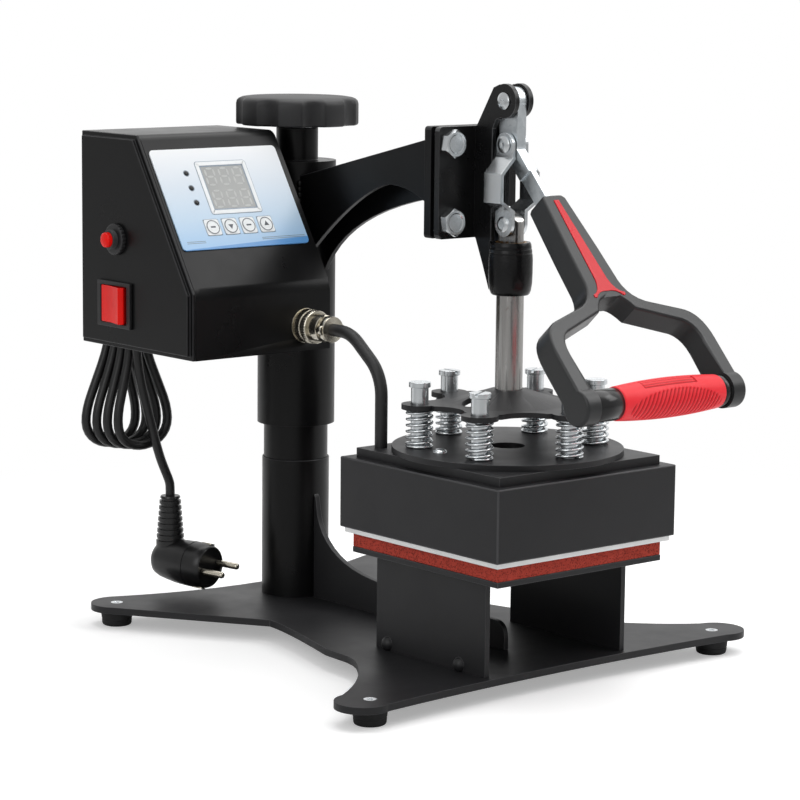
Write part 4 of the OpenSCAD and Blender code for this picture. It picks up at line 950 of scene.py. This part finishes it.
lens = [(0, 0.4), (1.85, 0.4), (1.85, 1.15), (1.5, 1.4), (0.8, 1.6), (0, 1.65)]
lamps = joined(*[moved(turned(lens, 24), place) for place in lamp_places])
finish(moved(lamps, SLOPE), "indicator_lamps", e_coat, body="arm")

# The mains switch: a rocker of clear red polycarbonate in a black nylon bezel
# snapped into the side cover, standing with its rear half pressed in.
# Clear red plastic glows from inside: a bright even red with a wet gloss, and
# darker where the wall is thick.
clear_red = cloudy("red_polycarbonate", "#d00504", "#f3170d",
                   (60.0, 2.0), (0.12, 0.22), specular=0.22)
from_cad("rocker_bezel", "moulded", nylon, 0.6, 3)
finish(soften(from_frame("rocker_button"), 0.5, 3, over=24), "rocker_cap", clear_red,
       "rocker_button")

# The thermal cut-out: a red push button in a threaded black neck, held by a ribbed
# nut on the side cover.
def ribbed(a):
    return 11.0 + 0.2 * cos(24 * a)


neck = turned([(5.35, -7.4), (6.3, -7.4), (6.7, -7.0)]
              + [(6.9 - 0.35 * (i % 2), -6.6 + i * 0.45) for i in range(8)]
              + [(6.9, -3.2), (6.9, 18.4), (5.35, 18.4)], 48, closed=True)
nut = risen([(-3.4, 9.2), (-3.4, 10.4), (-2.9, ribbed), (-0.4, ribbed), (0.0, 10.9)], 192)
FROM_SIDE = at(-159.4, 237, 291) @ Matrix.Rotation(pi / 2, 4, "Y")
finish(moved(joined(neck, nut), FROM_SIDE), "reset_collar_moulded", nylon, "reset_collar")
cap = turned([(0, 9), (5.2, 9), (5.3, -9.8), (5.0, -10.6), (4.2, -11), (0, -11)], 48)
finish(moved(cap, FROM_SIDE), "reset_cap", clear_red, "reset_button")

# The mains cord: 7 mm three-core flex in smooth black PVC, two metres of it hung in
# a figure-of-eight hank behind the box, tied at its waist, then down to its plug.
pvc = cloudy("black_pvc_flex", "#080809", "#161617",
             (120.0, 4.0), (0.3, 0.46), (("Noise", 420.0, 2.0), 0.3, 0.00006))

HANK_X, HANK_Y, HANK_Z = -101.5, 329.2, 222.0
LAYER, WAIST, WIDE, HALF = 7.9, 4.4, 58.0, 94.0
GLAND = Vector((-62.0, 284.2, 327.0))


def hank_point(t):
    """A point of the hank after t loops, as the part's source has it."""
    whole = int(t)
    a = 2 * pi * (t - whole)
    s = min(max((a - radians(20)) / radians(45), 0), 1)
    s = whole + s * s * (3 - 2 * s)
    side = -sin(a) * (WIDE - (WIDE - WAIST) * sin(a) ** 2)
    down = HALF * cos(a)
    f = radians(-8 + 3.2 * s)
    return (HANK_X + side * cos(f) - down * sin(f), HANK_Y - LAYER * s,
            HANK_Z + down * cos(f) + side * sin(f))


route = [(GLAND.x, GLAND.y + 12, GLAND.z), (GLAND.x, GLAND.y + 19, GLAND.z)]
route += [(GLAND.x - 28 * (1 - cos(radians(a))), HANK_Y - 28 * (1 - sin(radians(a))), GLAND.z)
          for a in (22.5, 45, 67.5)]
route += [hank_point(i / 24) for i in range(1, 103)]
last = route[-1]
route += [(last[0], last[1], last[2] - 7), (-106, 290, 203), (-104.6, 290, 190), (-102, 290, 176),
          (-98, 290, 162), (-93.5, 290, 147), (-89.5, 290, 133), (-85, 290, 119), (-80, 290, 108),
          (-76.8, 290, 101), (-76, 290, 97), (-76, 290, 88)]
line = bpy.data.curves.new("mains_cord", "CURVE")
line.dimensions = "3D"
line.bevel_depth = 0.0035
line.bevel_resolution = 4
line.use_fill_caps = True
path = line.splines.new("NURBS")
path.points.add(len(route) - 1)
for point, spot in zip(path.points, route):
    point.co = (*(ROW @ Vector(spot)), 1)
path.order_u = 3
path.use_endpoint_u = True
path.resolution_u = 3
line.materials.append(pvc)
mains_cord = bpy.data.objects.new("mains_cord", line)
scene.collection.objects.link(mains_cord)
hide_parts("cord_hank", "cord_lead")
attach(mains_cord, "arm")

ribs = [(6.6 - 2.1 * i / 9, 4 + i * 1.45 + k) for i in range(9) for k in (0, 0.85)]
ribs = [(r - (0.55 if i % 2 else 0), z) for i, (r, z) in enumerate(ribs)]
gland = turned([(0, -6), (5.9, -6), (5.9, 0), (9, 0), (9, 3.2), (8.4, 4), *ribs, (4.3, 18),
                (3.4, 18.4), (0, 18.4)], 48)
finish(moved(gland, at(*GLAND) @ TOWARDS_BOX), "cord_gland_moulded", nylon, "cord_gland")
finish(soften(from_frame("cord_tie"), 0.6, 3), "twist_tie", pvc, "cord_tie")

# The plug: black PVC moulded over the pins, round at the face, with finger grooves
# and a tapered, slotted strain relief that points up the cord.
PLUG_X, PLUG_Y, PLUG_Z = -76, 290, 41.4
PLUG = (at(PLUG_X, PLUG_Y, PLUG_Z) @ Matrix.Rotation(radians(-74), 4, "Z")
        @ Matrix.Rotation(radians(2), 4, "Y"))
body_rings = [(0, -12), (7.5, -12), (9.2, -11.4), (12.6, -8.4), (14.2, -4), (15.4, 3),
              (16.4, 10), (16.8, 18), (17, 22.6), (16.6, 22.8), (16.6, 23.4), (17, 23.6),
              (16.9, 32), (16.2, 35.4), (15.4, 37.4), (14.8, 38), (13.6, 38), (13.4, 37.4),
              (0, 37.4)]
plug = turned(body_rings, 72)
moved(plug, PLUG @ Matrix.Rotation(pi / 2, 4, "Y"))
boot = [(0, PLUG_Z), (10.8, PLUG_Z)]
for i in range(8):
    r, z = 10.6 - i * 0.36, i * 4.3
    boot += [(r, 54 + z), (r, 56.4 + z), (r - 1.3, 56.6 + z), (r - 1.3, 58.1 + z)]
boot += [(7.6, 88.6), (7.0, 90), (3.4, 90), (0, 90)]
plug = joined(plug, moved(turned(boot, 56), at(PLUG_X, PLUG_Y, 0)))
# Moulded PVC takes the polish of its steel mould and is blacker and wetter than nylon.
plug_pvc = cloudy("polished_moulded_pvc", "#0c0c0d", "#19191a",
                  (110.0, 3.0), (0.24, 0.38), (None, 0.2, 0.0002))
plug_piece = finish(plug, "mains_plug", plug_pvc, "plug_body", smooth=40)
pin_shape = turned([(0, 0), (2.4, 0), (2.4, 17.4), (2.0, 18.6), (1.2, 19), (0, 19)], 32)
pin_places = [PLUG @ at(38, side * 8.9, side * 1.8) @ Matrix.Rotation(pi / 2, 4, "Y")
              for side in (-1, 1)]
clips = [moved(tile(0, 0, 9, 5.6, 1.2, 16.2, 17.15),
               PLUG @ Matrix.Rotation(radians(-18) + half_turn, 4, "X") @ at(31.5, 0, 0))
         for half_turn in (0, pi)]
plug_pins = finish(joined(copies(pin_shape, pin_places), *clips), "mains_plug_pins", nickel,
                   "plug_pins")

# The heater lead: 9 mm silicone-insulated cable in a black braid, out of its plug,
# over in one bend and down through the top of the head, which it follows. The braid
# is drawn as slanting bands, one about every half millimetre.
BEND = 30.0
DIP = radians(37.2)
turn_y, drop_y = 97.2, 63.4
drop_z = LEAD_Z - (turn_y - drop_y) * sin(DIP) / cos(DIP)
first_cut = BEND * sin(DIP / 2) / cos(DIP / 2)
rest_turn = radians(90) - DIP
second_cut = BEND * sin(rest_turn / 2) / cos(rest_turn / 2)
lead = [(LEAD_X, 118, LEAD_Z), (LEAD_X, 114, LEAD_Z)]
lead += [(LEAD_X, turn_y + first_cut + BEND * cos(a), LEAD_Z - BEND + BEND * sin(a))
         for a in [radians(90) + DIP * i / 6 for i in range(7)]]
lead += [(LEAD_X, drop_y + BEND + BEND * cos(a), drop_z - second_cut + BEND * sin(a))
         for a in [radians(90) + DIP + rest_turn * i / 8 for i in range(9)]]
lead += [(LEAD_X, drop_y, drop_z - second_cut - s) for s in (6, 12, 18, 24, 30)]
lead += [(LEAD_X, drop_y, 156)]
flow = bmesh.new()
bmesh.ops.create_circle(flow, cap_ends=False, segments=20, radius=4.4,
                        matrix=at(*lead[0]) @ Matrix.Rotation(pi / 2, 4, "X"))
edges = flow.edges[:]
bmesh.ops.contextual_create(flow, geom=edges)
for count in range(1, len(lead)):
    ring, edges = next_ring(flow, edges)
    before, here = Vector(lead[count - 1]), Vector(lead[count])
    after = Vector(lead[min(count + 1, len(lead) - 1)])
    first = here - Vector(lead[count - 2]) if count > 1 else here - before
    old_way, new_way = first.normalized(), (after - before).normalized()
    turn = old_way.rotation_difference(new_way).to_matrix().to_4x4()
    bmesh.ops.transform(flow, verts=ring, matrix=at(*here) @ turn @ at(*-before))
bmesh.ops.contextual_create(flow, geom=edges)
bmesh.ops.recalc_face_normals(flow, faces=flow.faces)

braid, skin = new_material("black_glass_braid")
where = add(braid, "TexCoord").outputs["Object"]
weave = add(braid, "TexWave", {"Vector": where, "Scale": 700.0, "Distortion": 1.0},
            bands_direction="DIAGONAL").outputs["Fac"]
tone = blended(braid, weave, "#101011", "#1d1d1e")
relief = bumped(braid, weave, 0.4, 0.00006)
plug_in(skin, {"Base Color": tone, "Roughness": 0.46, "Normal": relief})
heater_cable = finish(flow, "heater_cable", braid, "heater_lead", smooth=70, parent_free=True)
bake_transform(heater_cable, "arm", "platen", start=(0, 0.0385, 0.2318), end=(0, -0.0105, 0.170))
